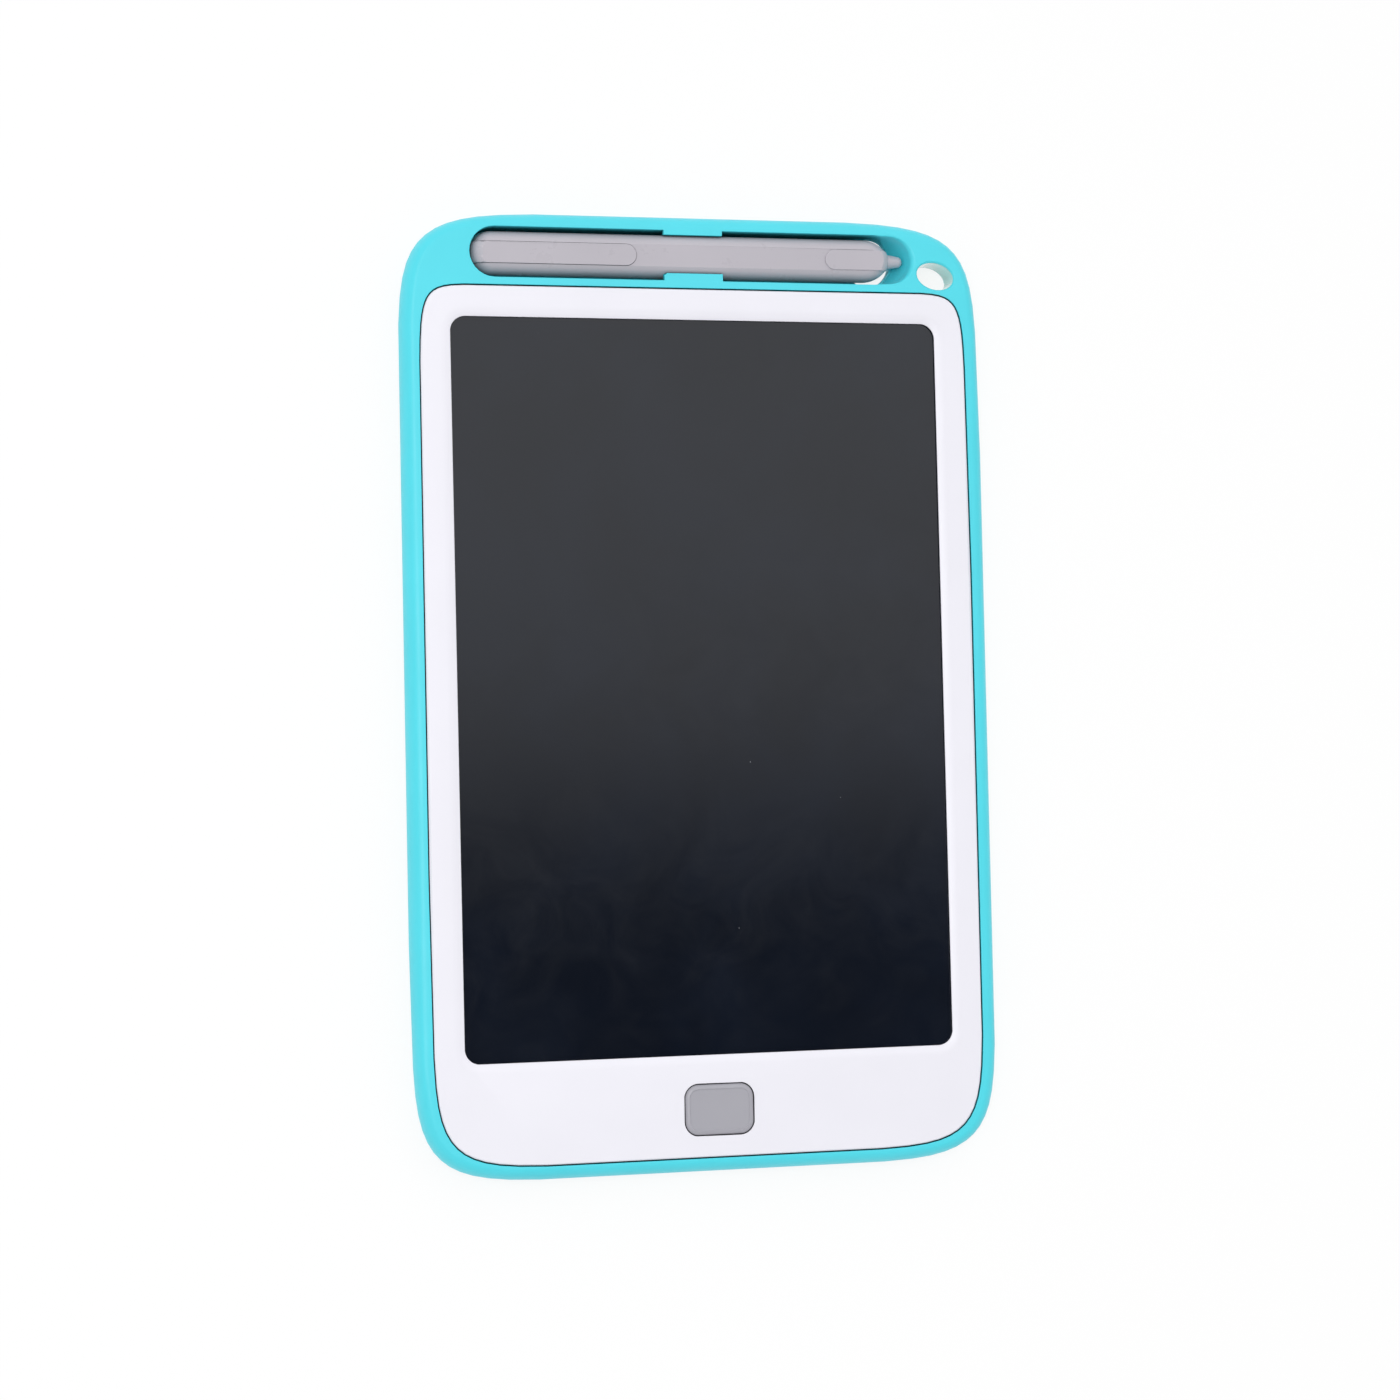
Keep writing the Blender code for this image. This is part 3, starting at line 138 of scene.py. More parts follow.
# %% [markdown]
# ## Moulded plastic
#
# Every plastic piece here comes out of a polished or finely sparked mould. Seen close, the surface has a
# grain of a few tenths of a millimetre, its colour drifts by a percent or two, handling has polished some
# places, and the outer edges are rubbed a touch lighter. One recipe makes them all, each with its own
# colour, grain and gloss. The edge rubbing compares the true normal with a rounded one, which differ only
# at edges. Narrow gaps, creases and hollows get painted shade: their colour is darkened by how little sky
# they see. They lose their shine too, or a channel's wall would mirror what lies in it. On the back only the
# piece's own gaps count, so the table it lies on paints no shade on it.


# %% Recipe for moulded plastic
def moulded_plastic(name, colour, gloss, grain, relief, drift=0.02, rub=1.06, sheen=0.0, coat=0.0,
                    reach=0.0018, own_gaps=False):
    """A plastic with its colour, roughness, grain, colour drift, lighter edges and the reach of its painted gap
    shade.
    """
    material, tree = blank_material(name)
    spot = place(tree, "ShaderNodeTexCoord").outputs["Object"]
    cloud = place(tree, "ShaderNodeTexNoise", [("Vector", spot), ("Scale", 45.0), ("Detail", 4.0)])
    tint = place(tree, "ShaderNodeValToRGB", [("Fac", cloud.outputs["Fac"])])
    tint.color_ramp.elements[0].position = 0.3
    tint.color_ramp.elements[0].color = shaded(colour, 1 - drift)
    tint.color_ramp.elements[1].position = 0.7
    tint.color_ramp.elements[1].color = shaded(colour, 1 + drift)
    rounded = place(tree, "ShaderNodeBevel", [("Radius", 0.0003)], samples=4)
    true_normal = place(tree, "ShaderNodeNewGeometry").outputs["Normal"]
    agree = place(
        tree, "ShaderNodeVectorMath", [(0, rounded.outputs["Normal"]), (1, true_normal)], operation="DOT_PRODUCT"
    )
    edge = ramp(tree, agree.outputs["Value"], 0.99, 0.85, 0.0, 0.7)
    worn = place(
        tree, "ShaderNodeMix",
        [(0, edge), (6, tint.outputs["Color"]), (7, shaded(colour, rub))], data_type="RGBA",
    )
    # Painted shade: the base colour is darkened where the piece sees little sky, in gaps, creases and hollows.
    open_sky = place(tree, "ShaderNodeAmbientOcclusion", [("Distance", reach)], samples=5, only_local=own_gaps)
    painted_gap_shade = ramp(tree, open_sky.outputs["AO"], 0.06, 0.55, 0.12)
    gap_shaded_colour = place(
        tree, "ShaderNodeMix", [(0, 1.0), (6, worn.outputs[2]), (7, painted_gap_shade)], data_type="RGBA", blend_type="MULTIPLY"
    )
    shine = ramp(tree, open_sky.outputs["AO"], 0.6, 0.95, 0.0, 0.5)
    wipe = place(
        tree, "ShaderNodeTexNoise", [("Vector", spot), ("Scale", 110.0), ("Detail", 6.0), ("Roughness", 0.7)]
    )
    polish = ramp(tree, wipe.outputs["Fac"], 0.3, 0.7, gloss - 0.05, gloss + 0.05)
    pits = place(
        tree, "ShaderNodeTexVoronoi", [("Vector", spot), ("Scale", 1 / grain)], feature="SMOOTH_F1"
    )
    fine = place(tree, "ShaderNodeTexNoise", [("Vector", spot), ("Scale", 2 / grain), ("Detail", 3.0)])
    skin = reckon(tree, "ADD", pits.outputs["Distance"], fine.outputs["Fac"])
    bump = place(tree, "ShaderNodeBump", [("Height", skin), ("Strength", 0.6), ("Distance", relief)])
    surface = place(
        tree, "ShaderNodeBsdfPrincipled",
        [("Base Color", gap_shaded_colour.outputs[2]), ("Roughness", polish), ("Normal", bump.outputs["Normal"]),
         ("IOR", 1.46), ("Specular IOR Level", shine), ("Sheen Weight", sheen), ("Coat Weight", coat),
         ("Coat Roughness", 0.04)],
    )
    place(tree, "ShaderNodeOutputMaterial", [("Surface", surface.outputs["BSDF"])])
    return material


teal_colour = light_of(80, 217, 232)
white_colour = light_of(236, 235, 243)
# The front housing's painted shade reaches further, which darkens the scoop at the nib and the pen channel.
teal = moulded_plastic("teal_housing_plastic", teal_colour, 0.42, 0.00045, 0.000012, reach=0.0036)
teal_back = moulded_plastic("teal_back_plastic", teal_colour, 0.5, 0.0006, 0.00002, own_gaps=True)
white_knob = moulded_plastic(
    "white_knob_plastic", white_colour, 0.38, 0.0004, 0.000008, drift=0.01, own_gaps=True
)
# Glossy wall of the lanyard hole: its gloss is real, and its pale colour with strong blotches is a painted
# reflection of white streaks.
polished_teal_painted_reflection = moulded_plastic(
    "polished_teal_wall_painted_reflection", light_of(150, 222, 216), 0.14, 0.0012, 0.00004, drift=0.4, coat=1.0
)
white = moulded_plastic("white_frame_plastic", white_colour, 0.38, 0.0004, 0.000008, drift=0.01)
key_grey = moulded_plastic("grey_key_plastic", light_of(166, 165, 173), 0.36, 0.0003, 0.000008)
pen_grey = moulded_plastic(
    "grey_pen_plastic", light_of(186, 182, 190), 0.3, 0.0004, 0.000006, sheen=0.1, reach=0.0005
)
print("plastics:", teal.name, white.name, key_grey.name, pen_grey.name)

# %% [markdown]
# ## The film's dark laminate
#
# The film is a smooth dark laminate. What shows on it is mostly the studio: the part that mirrors the
# softbox looks grey, and the rest keeps the film's own dark blue. Up close it has faint bluish clouds where
# the liquid crystal is a little thicker, smears where hands have rested, and a few specks of dust.


# %% Material of the writing film
def writing_film_material():
    """The dark laminate, with clouds, smears and dust."""
    material, tree = blank_material("dark_writing_film")
    spot = place(tree, "ShaderNodeTexCoord").outputs["Object"]
    cloud = place(
        tree, "ShaderNodeTexNoise",
        [("Vector", spot), ("Scale", 26.0), ("Detail", 3.0), ("Distortion", 0.6)],
    )
    tint = place(tree, "ShaderNodeValToRGB", [("Fac", cloud.outputs["Fac"])])
    tint.color_ramp.elements[0].position = 0.38
    tint.color_ramp.elements[0].color = (0.0042, 0.0062, 0.0118, 1)
    tint.color_ramp.elements[1].position = 0.72
    tint.color_ramp.elements[1].color = (0.0062, 0.0092, 0.0175, 1)
    smear = place(
        tree, "ShaderNodeTexNoise",
        [("Vector", spot), ("Scale", 60.0), ("Detail", 8.0), ("Roughness", 0.65), ("Distortion", 1.5)],
    )
    polish = ramp(tree, smear.outputs["Fac"], 0.35, 0.75, 0.10, 0.17)
    dust = place(tree, "ShaderNodeTexVoronoi", [("Vector", spot), ("Scale", 160.0)], feature="F1")
    grainy = ramp(tree, dust.outputs["Distance"], 0.026, 0.016, 0.0, 0.5)
    patchy = place(tree, "ShaderNodeTexNoise", [("Vector", spot), ("Scale", 33.0), ("Detail", 1.0)])
    where = ramp(tree, patchy.outputs["Fac"], 0.62, 0.66)
    specks = reckon(tree, "MULTIPLY", grainy, where)
    dusty = place(
        tree, "ShaderNodeMix",
        [(0, specks), (6, tint.outputs["Color"]), (7, (0.45, 0.47, 0.5, 1))], data_type="RGBA",
    )
    ripple = place(tree, "ShaderNodeTexNoise", [("Vector", spot), ("Scale", 700.0), ("Detail", 2.0)])
    bump = place(
        tree, "ShaderNodeBump",
        [("Height", ripple.outputs["Fac"]), ("Strength", 0.15), ("Distance", 0.000004)],
    )
    surface = place(
        tree, "ShaderNodeBsdfPrincipled",
        [("Base Color", dusty.outputs[2]), ("Roughness", polish),
         ("Normal", bump.outputs["Normal"]), ("IOR", 1.5)],
    )
    place(tree, "ShaderNodeOutputMaterial", [("Surface", surface.outputs["BSDF"])])
    return material


film = writing_film_material()
print("film:", film.name)

# %% [markdown]
# ## Metal
#
# The screws, the contacts and the can of the cell are nickel-plated steel: bright, with fine brush lines and
# dull patches. The brush lines are a noise stretched a long way along one direction.


# %% Recipe for plated metal
def plated_metal(name, colour, gloss, stretch):
    """A metal with its colour, its roughness and the way its brush lines run."""
    material, tree = blank_material(name)
    spot = place(tree, "ShaderNodeTexCoord").outputs["Object"]
    drawn = place(tree, "ShaderNodeMapping", [("Vector", spot), ("Scale", stretch)])
    brush = place(
        tree, "ShaderNodeTexNoise", [("Vector", drawn.outputs["Vector"]), ("Scale", 900.0), ("Detail", 4.0)]
    )
    cloud = place(tree, "ShaderNodeTexNoise", [("Vector", spot), ("Scale", 350.0), ("Detail", 5.0)])
    tint = place(tree, "ShaderNodeValToRGB", [("Fac", cloud.outputs["Fac"])])
    tint.color_ramp.elements[0].color = shaded(colour, 0.86)
    tint.color_ramp.elements[1].color = shaded(colour, 1.08)
    polish = ramp(tree, brush.outputs["Fac"], 0.3, 0.7, gloss - 0.08, gloss + 0.1)
    bump = place(
        tree, "ShaderNodeBump",
        [("Height", brush.outputs["Fac"]), ("Strength", 0.3), ("Distance", 0.00001)],
    )
    surface = place(
        tree, "ShaderNodeBsdfPrincipled",
        [("Base Color", tint.outputs["Color"]), ("Roughness", polish),
         ("Normal", bump.outputs["Normal"]), ("Metallic", 1.0)],
    )
    place(tree, "ShaderNodeOutputMaterial", [("Surface", surface.outputs["BSDF"])])
    return material


plated_steel = plated_metal("plated_steel", (0.62, 0.61, 0.59, 1), 0.3, (1.0, 0.06, 1.0))
copper_wire = plated_metal("enamelled_copper_wire", (0.62, 0.26, 0.10, 1), 0.28, (1.0, 1.0, 0.3))
black_card = moulded_plastic("black_backing_card", (0.012, 0.012, 0.014, 1), 0.7, 0.0003, 0.00001)
component_black = moulded_plastic("black_component_plastic", (0.014, 0.014, 0.016, 1), 0.5, 0.0002, 0.000008)
board_green = moulded_plastic("green_solder_mask", (0.015, 0.12, 0.045, 1), 0.3, 0.0006, 0.000004)
tail_amber = moulded_plastic("amber_ribbon_film", (0.42, 0.2, 0.05, 1), 0.3, 0.0005, 0.000004)
print("metals:", plated_steel.name, copper_wire.name)
print("inner plastics:", black_card.name, component_black.name, board_green.name, tail_amber.name)

# %% [markdown]
# ## Working at the bench
#
# The operators act on whatever is selected, so each step starts by clearing the bench and taking up one
# piece. A new piece begins as a block or a rod at its own size and place, and that place goes into its mesh,
# so that its pattern stays with it.


# %% Helpers that start a piece
def take_up(piece):
    """Puts one piece on an empty bench, selected and active."""
    bpy.ops.object.select_all(action="DESELECT")
    piece.select_set(True)
    bpy.context.view_layer.objects.active = piece


def settle(name):
    """Names the new primitive, puts its place into its mesh and opens it for editing."""
    piece = bpy.context.active_object
    piece.name = name
    bpy.ops.object.transform_apply(location=True, rotation=True, scale=True)
    bpy.ops.object.mode_set(mode="EDIT")
    return piece


def start_block(name, low, high):
    """Starts a piece as a block between two corners."""
    bpy.ops.object.select_all(action="DESELECT")
    low, high = Vector(low), Vector(high)
    bpy.ops.mesh.primitive_cube_add(size=1, location=(low + high) / 2, scale=high - low)
    return settle(name)


def start_rod(name, radius, foot, top, corners=48):
    """Starts a piece as a round rod from its foot to its top."""
    bpy.ops.object.select_all(action="DESELECT")
    foot, top = Vector(foot), Vector(top)
    lean = (top - foot).to_track_quat("Z", "Y").to_euler()
    bpy.ops.mesh.primitive_cylinder_add(
        vertices=corners, radius=radius, depth=(top - foot).length, location=(foot + top) / 2, rotation=lean
    )
    return settle(name)


def box_middle(node):
    """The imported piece's lower and upper corner, and the middle between them."""
    low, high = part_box(node)
    return low, high, (low + high) / 2


# %% [markdown]
# ## Picking and shaping
#
# In edit mode, corners, edges and faces could be picked by their numbers, but a number says nothing about
# the piece. Here they are picked by where they are or which way they look, and the tools then work on what
# is picked.


# %% Helpers that pick and shape
def choose(kind, wanted):
    """Selects only the corners, edges or faces that are wanted, and says how many they are."""
    bpy.ops.mesh.select_all(action="DESELECT")
    bpy.ops.mesh.select_mode(type=kind)
    data = bpy.context.edit_object.data
    shape = bmesh.from_edit_mesh(data)
    kinds = {"VERT": shape.verts, "EDGE": shape.edges, "FACE": shape.faces}
    chosen = [part for part in kinds[kind] if wanted(part)]
    for part in chosen:
        part.select_set(True)
    bmesh.update_edit_mesh(data)
    return len(chosen)


def looks(way):
    """A test for faces that look one way."""
    return lambda face: face.normal.dot(Vector(way)) > 0.99


def upright(edge):
    """A test for edges that stand up."""
    run = edge.verts[1].co - edge.verts[0].co
    return abs(run.normalized().z) > 0.99


def at_level(level):
    """A test for edges that lie at one height."""
    return lambda edge: all(abs(corner.co.z - level) < 0.000005 for corner in edge.verts)


def extrude(shift):
    """Draws the picked faces out by the shift."""
    bpy.ops.mesh.extrude_region_move(TRANSFORM_OT_translate={"value": shift})


def bevel(width, steps):
    """Rounds the picked edges."""
    bpy.ops.mesh.bevel(offset_type="OFFSET", offset=width, segments=steps, profile=0.5, affect="EDGES")


def scale_about(centre, x=1, y=1, z=1):
    """Scales what is picked about a point."""
    bpy.ops.transform.resize(value=(x, y, z), center_override=centre)


def close_up():
    """Leaves edit mode."""
    bpy.ops.object.mode_set(mode="OBJECT")


print("tools:", extrude.__name__, bevel.__name__, scale_about.__name__)

# %% [markdown]
# ## Finishing and handing over
#
# A moulded edge is never knife-sharp, so the last step on a piece rounds its edges. A rounded edge bends the
# shading of the flat face beside it, and weighted normals put that right: the larger face decides. A piece
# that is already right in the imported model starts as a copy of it. Its triangles share no corners, so they
# are welded first. Last, each piece is given to the body that carries it.


# %% Helpers that finish a piece
def apply_modifier(piece, kind, **settings):
    """Adds one modifier to the piece, sets it and applies it."""
    take_up(piece)
    modifier = piece.modifiers.new(kind.lower(), kind)
    for name, value in settings.items():
        setattr(modifier, name, value)
    bpy.ops.object.modifier_apply(modifier=modifier.name)


def carve(piece, tool, operation):
    """Cuts the piece by the tool, or keeps what both share, and puts the tool away."""
    apply_modifier(piece, "BOOLEAN", operation=operation, solver="EXACT", object=tool)
    bpy.data.objects.remove(tool)


def round_edges(piece, width, steps=3, angle=35):
    """Rounds every edge sharper than the angle, and shades the piece smooth with its flats kept flat."""
    apply_modifier(
        piece, "BEVEL", width=width, segments=steps, limit_method="ANGLE",
        angle_limit=math.radians(angle), use_clamp_overlap=False,
    )
    smooth(piece)


def smooth(piece):
    """Shades the piece smooth, except across its sharp edges."""
    take_up(piece)
    bpy.ops.object.shade_smooth_by_angle(angle=math.radians(32))
    apply_modifier(piece, "WEIGHTED_NORMAL", keep_sharp=True, weight=50)


def copy_of(node, name):
    """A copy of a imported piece, its loose triangles welded and its flat faces joined."""
    piece = bpy.data.objects.new(name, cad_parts[node].data.copy())
    bpy.context.scene.collection.objects.link(piece)
    piece.data.materials.clear()
    take_up(piece)
    bpy.ops.mesh.customdata_custom_splitnormals_clear()
    bpy.ops.object.mode_set(mode="EDIT")
    bpy.ops.mesh.select_all(action="SELECT")
    bpy.ops.mesh.remove_doubles(threshold=0.000002)
    bpy.ops.mesh.dissolve_limited(angle_limit=math.radians(0.5))
    bpy.ops.object.mode_set(mode="OBJECT")
    return piece


def another(piece, name, shift):
    """A copy of a finished piece with its own mesh, moved to its own place."""
    take_up(piece)
    bpy.ops.object.duplicate(linked=False)
    twin = bpy.context.active_object
    twin.name = name
    bpy.ops.transform.translate(value=shift)
    bpy.ops.object.transform_apply(location=True, rotation=True, scale=True)
    return twin


def join_to(piece, others):
    """Joins other pieces into one."""
    take_up(piece)
    for other in others:
        other.select_set(True)
    bpy.ops.object.join()
    return piece


def hand_over(piece, body, slot, material, *nodes):
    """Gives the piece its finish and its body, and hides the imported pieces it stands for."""
    if material is not None:
        piece.data.materials.clear()
        piece.data.materials.append(material)
    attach(piece, body)
    if nodes:
        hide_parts(*nodes)
    print(piece.name, len(piece.data.polygons), "faces")


print("packed pieces to stand in for:", len(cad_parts))

# %% [markdown]
# ## The housing and the frame
#
# The two shells and the white frame already have their exact outlines in the imported model: modelling their
# rims by eye again could only come out worse. So each of them starts as a copy whose triangles are welded
# and whose flats are joined, and then it gets the moulded edge that a solid lacks, about an eighth of a
# millimetre. Two places differ. The rim of the scoop at the nib runs out into the front's face in a broad
# soft round, so its topmost rings of corners are drawn out first, the upper ones further. The finger hole in
# the back, under the nose, is punched a little longer than the imported one, so that light shows on both sides
# of the pen. The wall of the lanyard hole was shaped by a polished pin in the mould, so its faces are
# glossier, and their pale, blotchy colour is a painted reflection of the white around the tablet.

# %% Round the edges of the large pieces
scoop_start = 0.0495
scoop_middle = Vector((scoop_start, 0.10564))
scoop_reach = Vector((0.0063, 0.0066))
scoop_rings = [(0.01, 1.17), (0.00984, 1.2), (0.0094, 1.2), (0.0088, 1.18), (0.00749, 1.15), (0.00622, 1.1)]
finger_middle = Vector((0.0456, 0.10648))
finger_reach = Vector((0.0061, 0.00623))
finger_floor, finger_roof = -0.001, 0.0075
cord_hole_middle = Vector((0.0610, 0.1019))
cord_hole_reach = 0.0052


def on_scoop_ring(level):
    """A test for the corners of the scoop's rim at one height."""
    def test(corner):
        away = corner.co.xy - scoop_middle
        near = (away.x / scoop_reach.x) ** 2 + (away.y / scoop_reach.y) ** 2 < 1
        return abs(corner.co.z - level) < 0.000012 and corner.co.x > scoop_start and near
    return test


large_pieces = [
    ("case_front", "front_shell", "case", "teal_plastic", teal, 0.00014),
    ("case_back", "back_shell", "case", "teal_plastic", teal_back, 0.00012),
    ("bezel", "screen_frame", "case", "white_plastic", white, 0.00012),
    ("lock_slider", "lock_knob", "lock", "white_plastic", white_knob, 0.0001),
    ("lock_switch_lever", "lock_lever", "lock", "white_plastic", white, 0.00008),
    ("erase_switch_plunger", "switch_plunger", "button", "white_plastic", white, 0.00015),
]
for node, name, body, slot, material, width in large_pieces:
    piece = copy_of(node, name)
    if node == "case_front":
        bpy.ops.object.mode_set(mode="EDIT")
        for level, widen in scoop_rings:
            print("corners of a scoop ring:", choose("VERT", on_scoop_ring(level)))
            scale_about((*scoop_middle, level), x=widen)
        close_up()
    if node == "case_back":
        x, y = finger_middle
        punch = start_rod("finger_punch", finger_reach.x, (x, y, finger_floor), (x, y, finger_roof), 80)
        scale_about((x, y, 0), y=finger_reach.y / finger_reach.x)
        close_up()
        carve(piece, punch, "DIFFERENCE")
    round_edges(piece, width)
    hand_over(piece, body, slot, material, node)
    if slot == "teal_plastic":
        # The lanyard hole's wall takes the glossy material with its painted reflection.
        piece.data.materials.append(polished_teal_painted_reflection)
        for face in piece.data.polygons:
            near = (Vector(face.center[:2]) - cord_hole_middle).length < cord_hole_reach
            if near and abs(face.normal.z) < 0.5:
                face.material_index = 1

# %% [markdown]
# ## The battery door
#
# The door is flush with the back and has two tabs on its upper edge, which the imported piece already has.
# What it lacks is the grip: three low ribs near the screw, where a fingernail pulls. They are small blocks
# with their ends rounded, joined to the door.

# %% Finish the battery door
door_low, _, door_middle = box_middle("battery_door")
door = copy_of("battery_door", "cell_door")
round_edges(door, 0.00014)
rib_half = Vector((0.0030, 0.00035))
rib_rise, rib_root = 0.00018, 0.0002
rib_start, rib_pitch = 0.0065, 0.0014
ribs = []
for row in range(3):
    rib_y = door_low.y + rib_start + row * rib_pitch
    rib = start_block(
        "door_rib", (door_middle.x - rib_half.x, rib_y - rib_half.y, door_low.z - rib_rise),
        (door_middle.x + rib_half.x, rib_y + rib_half.y, door_low.z + rib_root),
    )
    choose("EDGE", upright)
    bevel(rib_half.y * 0.98, 5)
    close_up()
    round_edges(rib, 0.00008, 2)
    ribs.append(rib)
join_to(door, ribs)
hand_over(door, "door", "teal_plastic", teal_back, "battery_door")

# %% [markdown]
# ## The pen's blanks
#
# The pen is turned, with one flat facet along its top. It could be a profile spun round the axis, but the
# three pieces of it need profiles that differ a little, so a blank is drawn out of a rod in stations, the
# rounded end to the left and the shoulder to the right, and then sliced flat. The outlines of the clip and
# the band are long blocks with one rounded end.

# %% Make the pen's blanks
pen_axis_y = 0.10580
pen_axis_z = 0.00630
pen_radius = 0.00522
pen_left = -0.05460
pen_nose = 0.04930
pen_shoulder = 0.04310
nose_radius = 0.00203
end_round = 0.0046
facet_rise = 0.004468
facet_round = 0.0005
arc_steps = 9
shoulder_turn = math.atan2(pen_radius - nose_radius, pen_nose - pen_shoulder) * 2
shoulder_radius = (pen_nose - pen_shoulder) / math.sin(shoulder_turn)


def draw_out(reached, radius, stations, axis=(pen_axis_y, pen_axis_z)):
    """Draws the picked end face along an axis that runs in X, station by station."""
    for station, new_radius in stations:
        extrude((station - reached, 0, 0))
        ratio = new_radius / radius
        scale_about((station, *axis), y=ratio, z=ratio)
        reached, radius = station, new_radius


def pen_blank(name, growth, nose_stations=None, soften=False):
    """A turned and sliced pen, grown outward by the growth, its facet's border rounded if asked."""
    radius = pen_radius + growth
    from_left = pen_left + end_round
    blank = start_rod(name, radius, (from_left, pen_axis_y, pen_axis_z), (pen_shoulder, pen_axis_y, pen_axis_z), 72)
    if nose_stations is None:
        turns = [shoulder_turn * step / arc_steps for step in range(1, arc_steps + 1)]
        nose_stations = [
            (pen_shoulder + shoulder_radius * math.sin(turn),
             radius - shoulder_radius * (1 - math.cos(turn))) for turn in turns
        ]
    choose("FACE", looks((1, 0, 0)))
    draw_out(pen_shoulder, radius, nose_stations)
    choose("FACE", looks((-1, 0, 0)))
    turns = [math.radians(90 - 90 / arc_steps * step) for step in range(1, arc_steps + 1)]
    draw_out(from_left, radius, [
        (pen_left + end_round - (end_round + growth) * math.cos(turn),
         pen_radius - end_round + (end_round + growth) * math.sin(turn)) for turn in turns
    ])
    bpy.ops.mesh.select_all(action="SELECT")
    top = pen_axis_z + facet_rise + growth
    bpy.ops.mesh.bisect(plane_co=(0, pen_axis_y, top), plane_no=(0, 0, 1), use_fill=True, clear_outer=True)
    if soften:
        choose("EDGE", at_level(top))
        bevel(facet_round, 4)
    close_up()
    return blank


def strip_block(name, left, right, width, low, rounded_x):
    """A long block with one rounded end, as tall as the pen and more."""
    half = width / 2
    strip = start_block(
        name, (left, pen_axis_y - half, low), (right, pen_axis_y + half, pen_axis_z + pen_radius * 1.5)
    )
    choose("EDGE", lambda edge: upright(edge) and abs(edge.verts[0].co.x - rounded_x) < 1e-6)
    bevel(half * 0.995, 14)
    close_up()
    return strip


print("pen", round((pen_nose - pen_left) * 1000, 1), "mm to its nose,", round(pen_radius * 2000, 2), "mm thick")

# %% [markdown]
# ## The pen's body, its clip and its band
#
# The body is the plain blank, with a seat cut into it for the clip. The clip is a slice of a slightly thicker
# blank that folds over the left end. The band near the nib is another slice, and it runs straight to the
# nose before it drops. Sliced from blanks, both follow the pen's round side everywhere. The pen lies in its
# channel rolled by a few degrees, so all three are turned about its axis at the end.

# %% Make the body, the clip and the band
clip_left, clip_right, clip_width = pen_left - 0.006, -0.0150, 0.0051
clip_growth = 0.0004
clip_foot = pen_axis_z - 0.0014
seat_gap = 0.00009
clip_core = -0.0010

pen_body = pen_blank("pen_body", 0, soften=True)
seat = strip_block(
    "clip_seat", clip_left, clip_right + seat_gap, clip_width + 2 * seat_gap, clip_foot - seat_gap,
    clip_right + seat_gap,
)
carve(seat, pen_blank("seat_core", clip_core - seat_gap), "DIFFERENCE")
carve(pen_body, seat, "DIFFERENCE")

pen_clip = pen_blank("pen_clip", clip_growth)
clip_strip = strip_block("clip_strip", clip_left, clip_right, clip_width, clip_foot, clip_right)
carve(pen_clip, clip_strip, "INTERSECT")
carve(pen_clip, pen_blank("clip_core", clip_core), "DIFFERENCE")

band_left, band_right, band_width = 0.03250, 0.055, 0.0048
band_foot = pen_axis_z + 0.0008
band_stations = [(0.0466, 0.00535), (0.0474, 0.0048), (0.0481, 0.0041), (0.0487, 0.0033), (0.04922, 0.0024)]
pen_band = pen_blank("pen_band", clip_growth, band_stations)
band_strip = strip_block("band_strip", band_left, band_right, band_width, band_foot, band_left)
carve(pen_band, band_strip, "INTERSECT")

pen_roll = math.radians(6)
for piece, width in ((pen_body, 0.00006), (pen_clip, 0.00014), (pen_band, 0.00014)):
    round_edges(piece, width, 3, 60)
    take_up(piece)
    bpy.ops.transform.rotate(
        value=-pen_roll, orient_axis="X", orient_type="GLOBAL", center_override=(0, pen_axis_y, pen_axis_z)
    )
    bpy.ops.object.transform_apply(location=True, rotation=True, scale=True)
    low = [round(min(corner.co[side] for corner in piece.data.vertices) * 1000, 2) for side in range(3)]
    high = [round(max(corner.co[side] for corner in piece.data.vertices) * 1000, 2) for side in range(3)]
    print(piece.name, low, high)
hand_over(pen_body, "stylus", "pen_plastic", pen_grey, "stylus_barrel")
hand_over(pen_clip, "stylus", "pen_plastic", pen_grey, "stylus_clip")
hand_over(pen_band, "stylus", "pen_plastic", pen_grey)

# %% [markdown]
# ## The writing film
#
# The film is a thin laminate under the white frame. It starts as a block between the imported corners, its
# corners are rounded, and a shallow step all round marks where the two foils are glued. The step lies under
# the frame's lip, where it does on the real one.

# %% Make the writing film
film_low, film_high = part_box("lcd_panel")
film_corner = 0.0067
glue_width = 0.0018
glue_step = 0.00004
sheet = start_block("writing_film", film_low, film_high)
choose("EDGE", upright)
bevel(film_corner, 8)
choose("FACE", looks((0, 0, 1)))
bpy.ops.mesh.inset(thickness=glue_width, depth=0)
extrude((0, 0, -glue_step))
close_up()
round_edges(sheet, 0.00003, 2)
hand_over(sheet, "case", "screen_film", film, "lcd_panel")

# %% [markdown]
# ## The erase key
#
# The key is a rounded pad that comes up through a hole in the frame, and a flange under the frame keeps it
# in. Its rim is a soft round of about a millimetre, and the flat inside is sunk by a hair, so a thin bright
# line runs along the rim. That line is why the pad is inset and pushed down, and not simply bevelled.

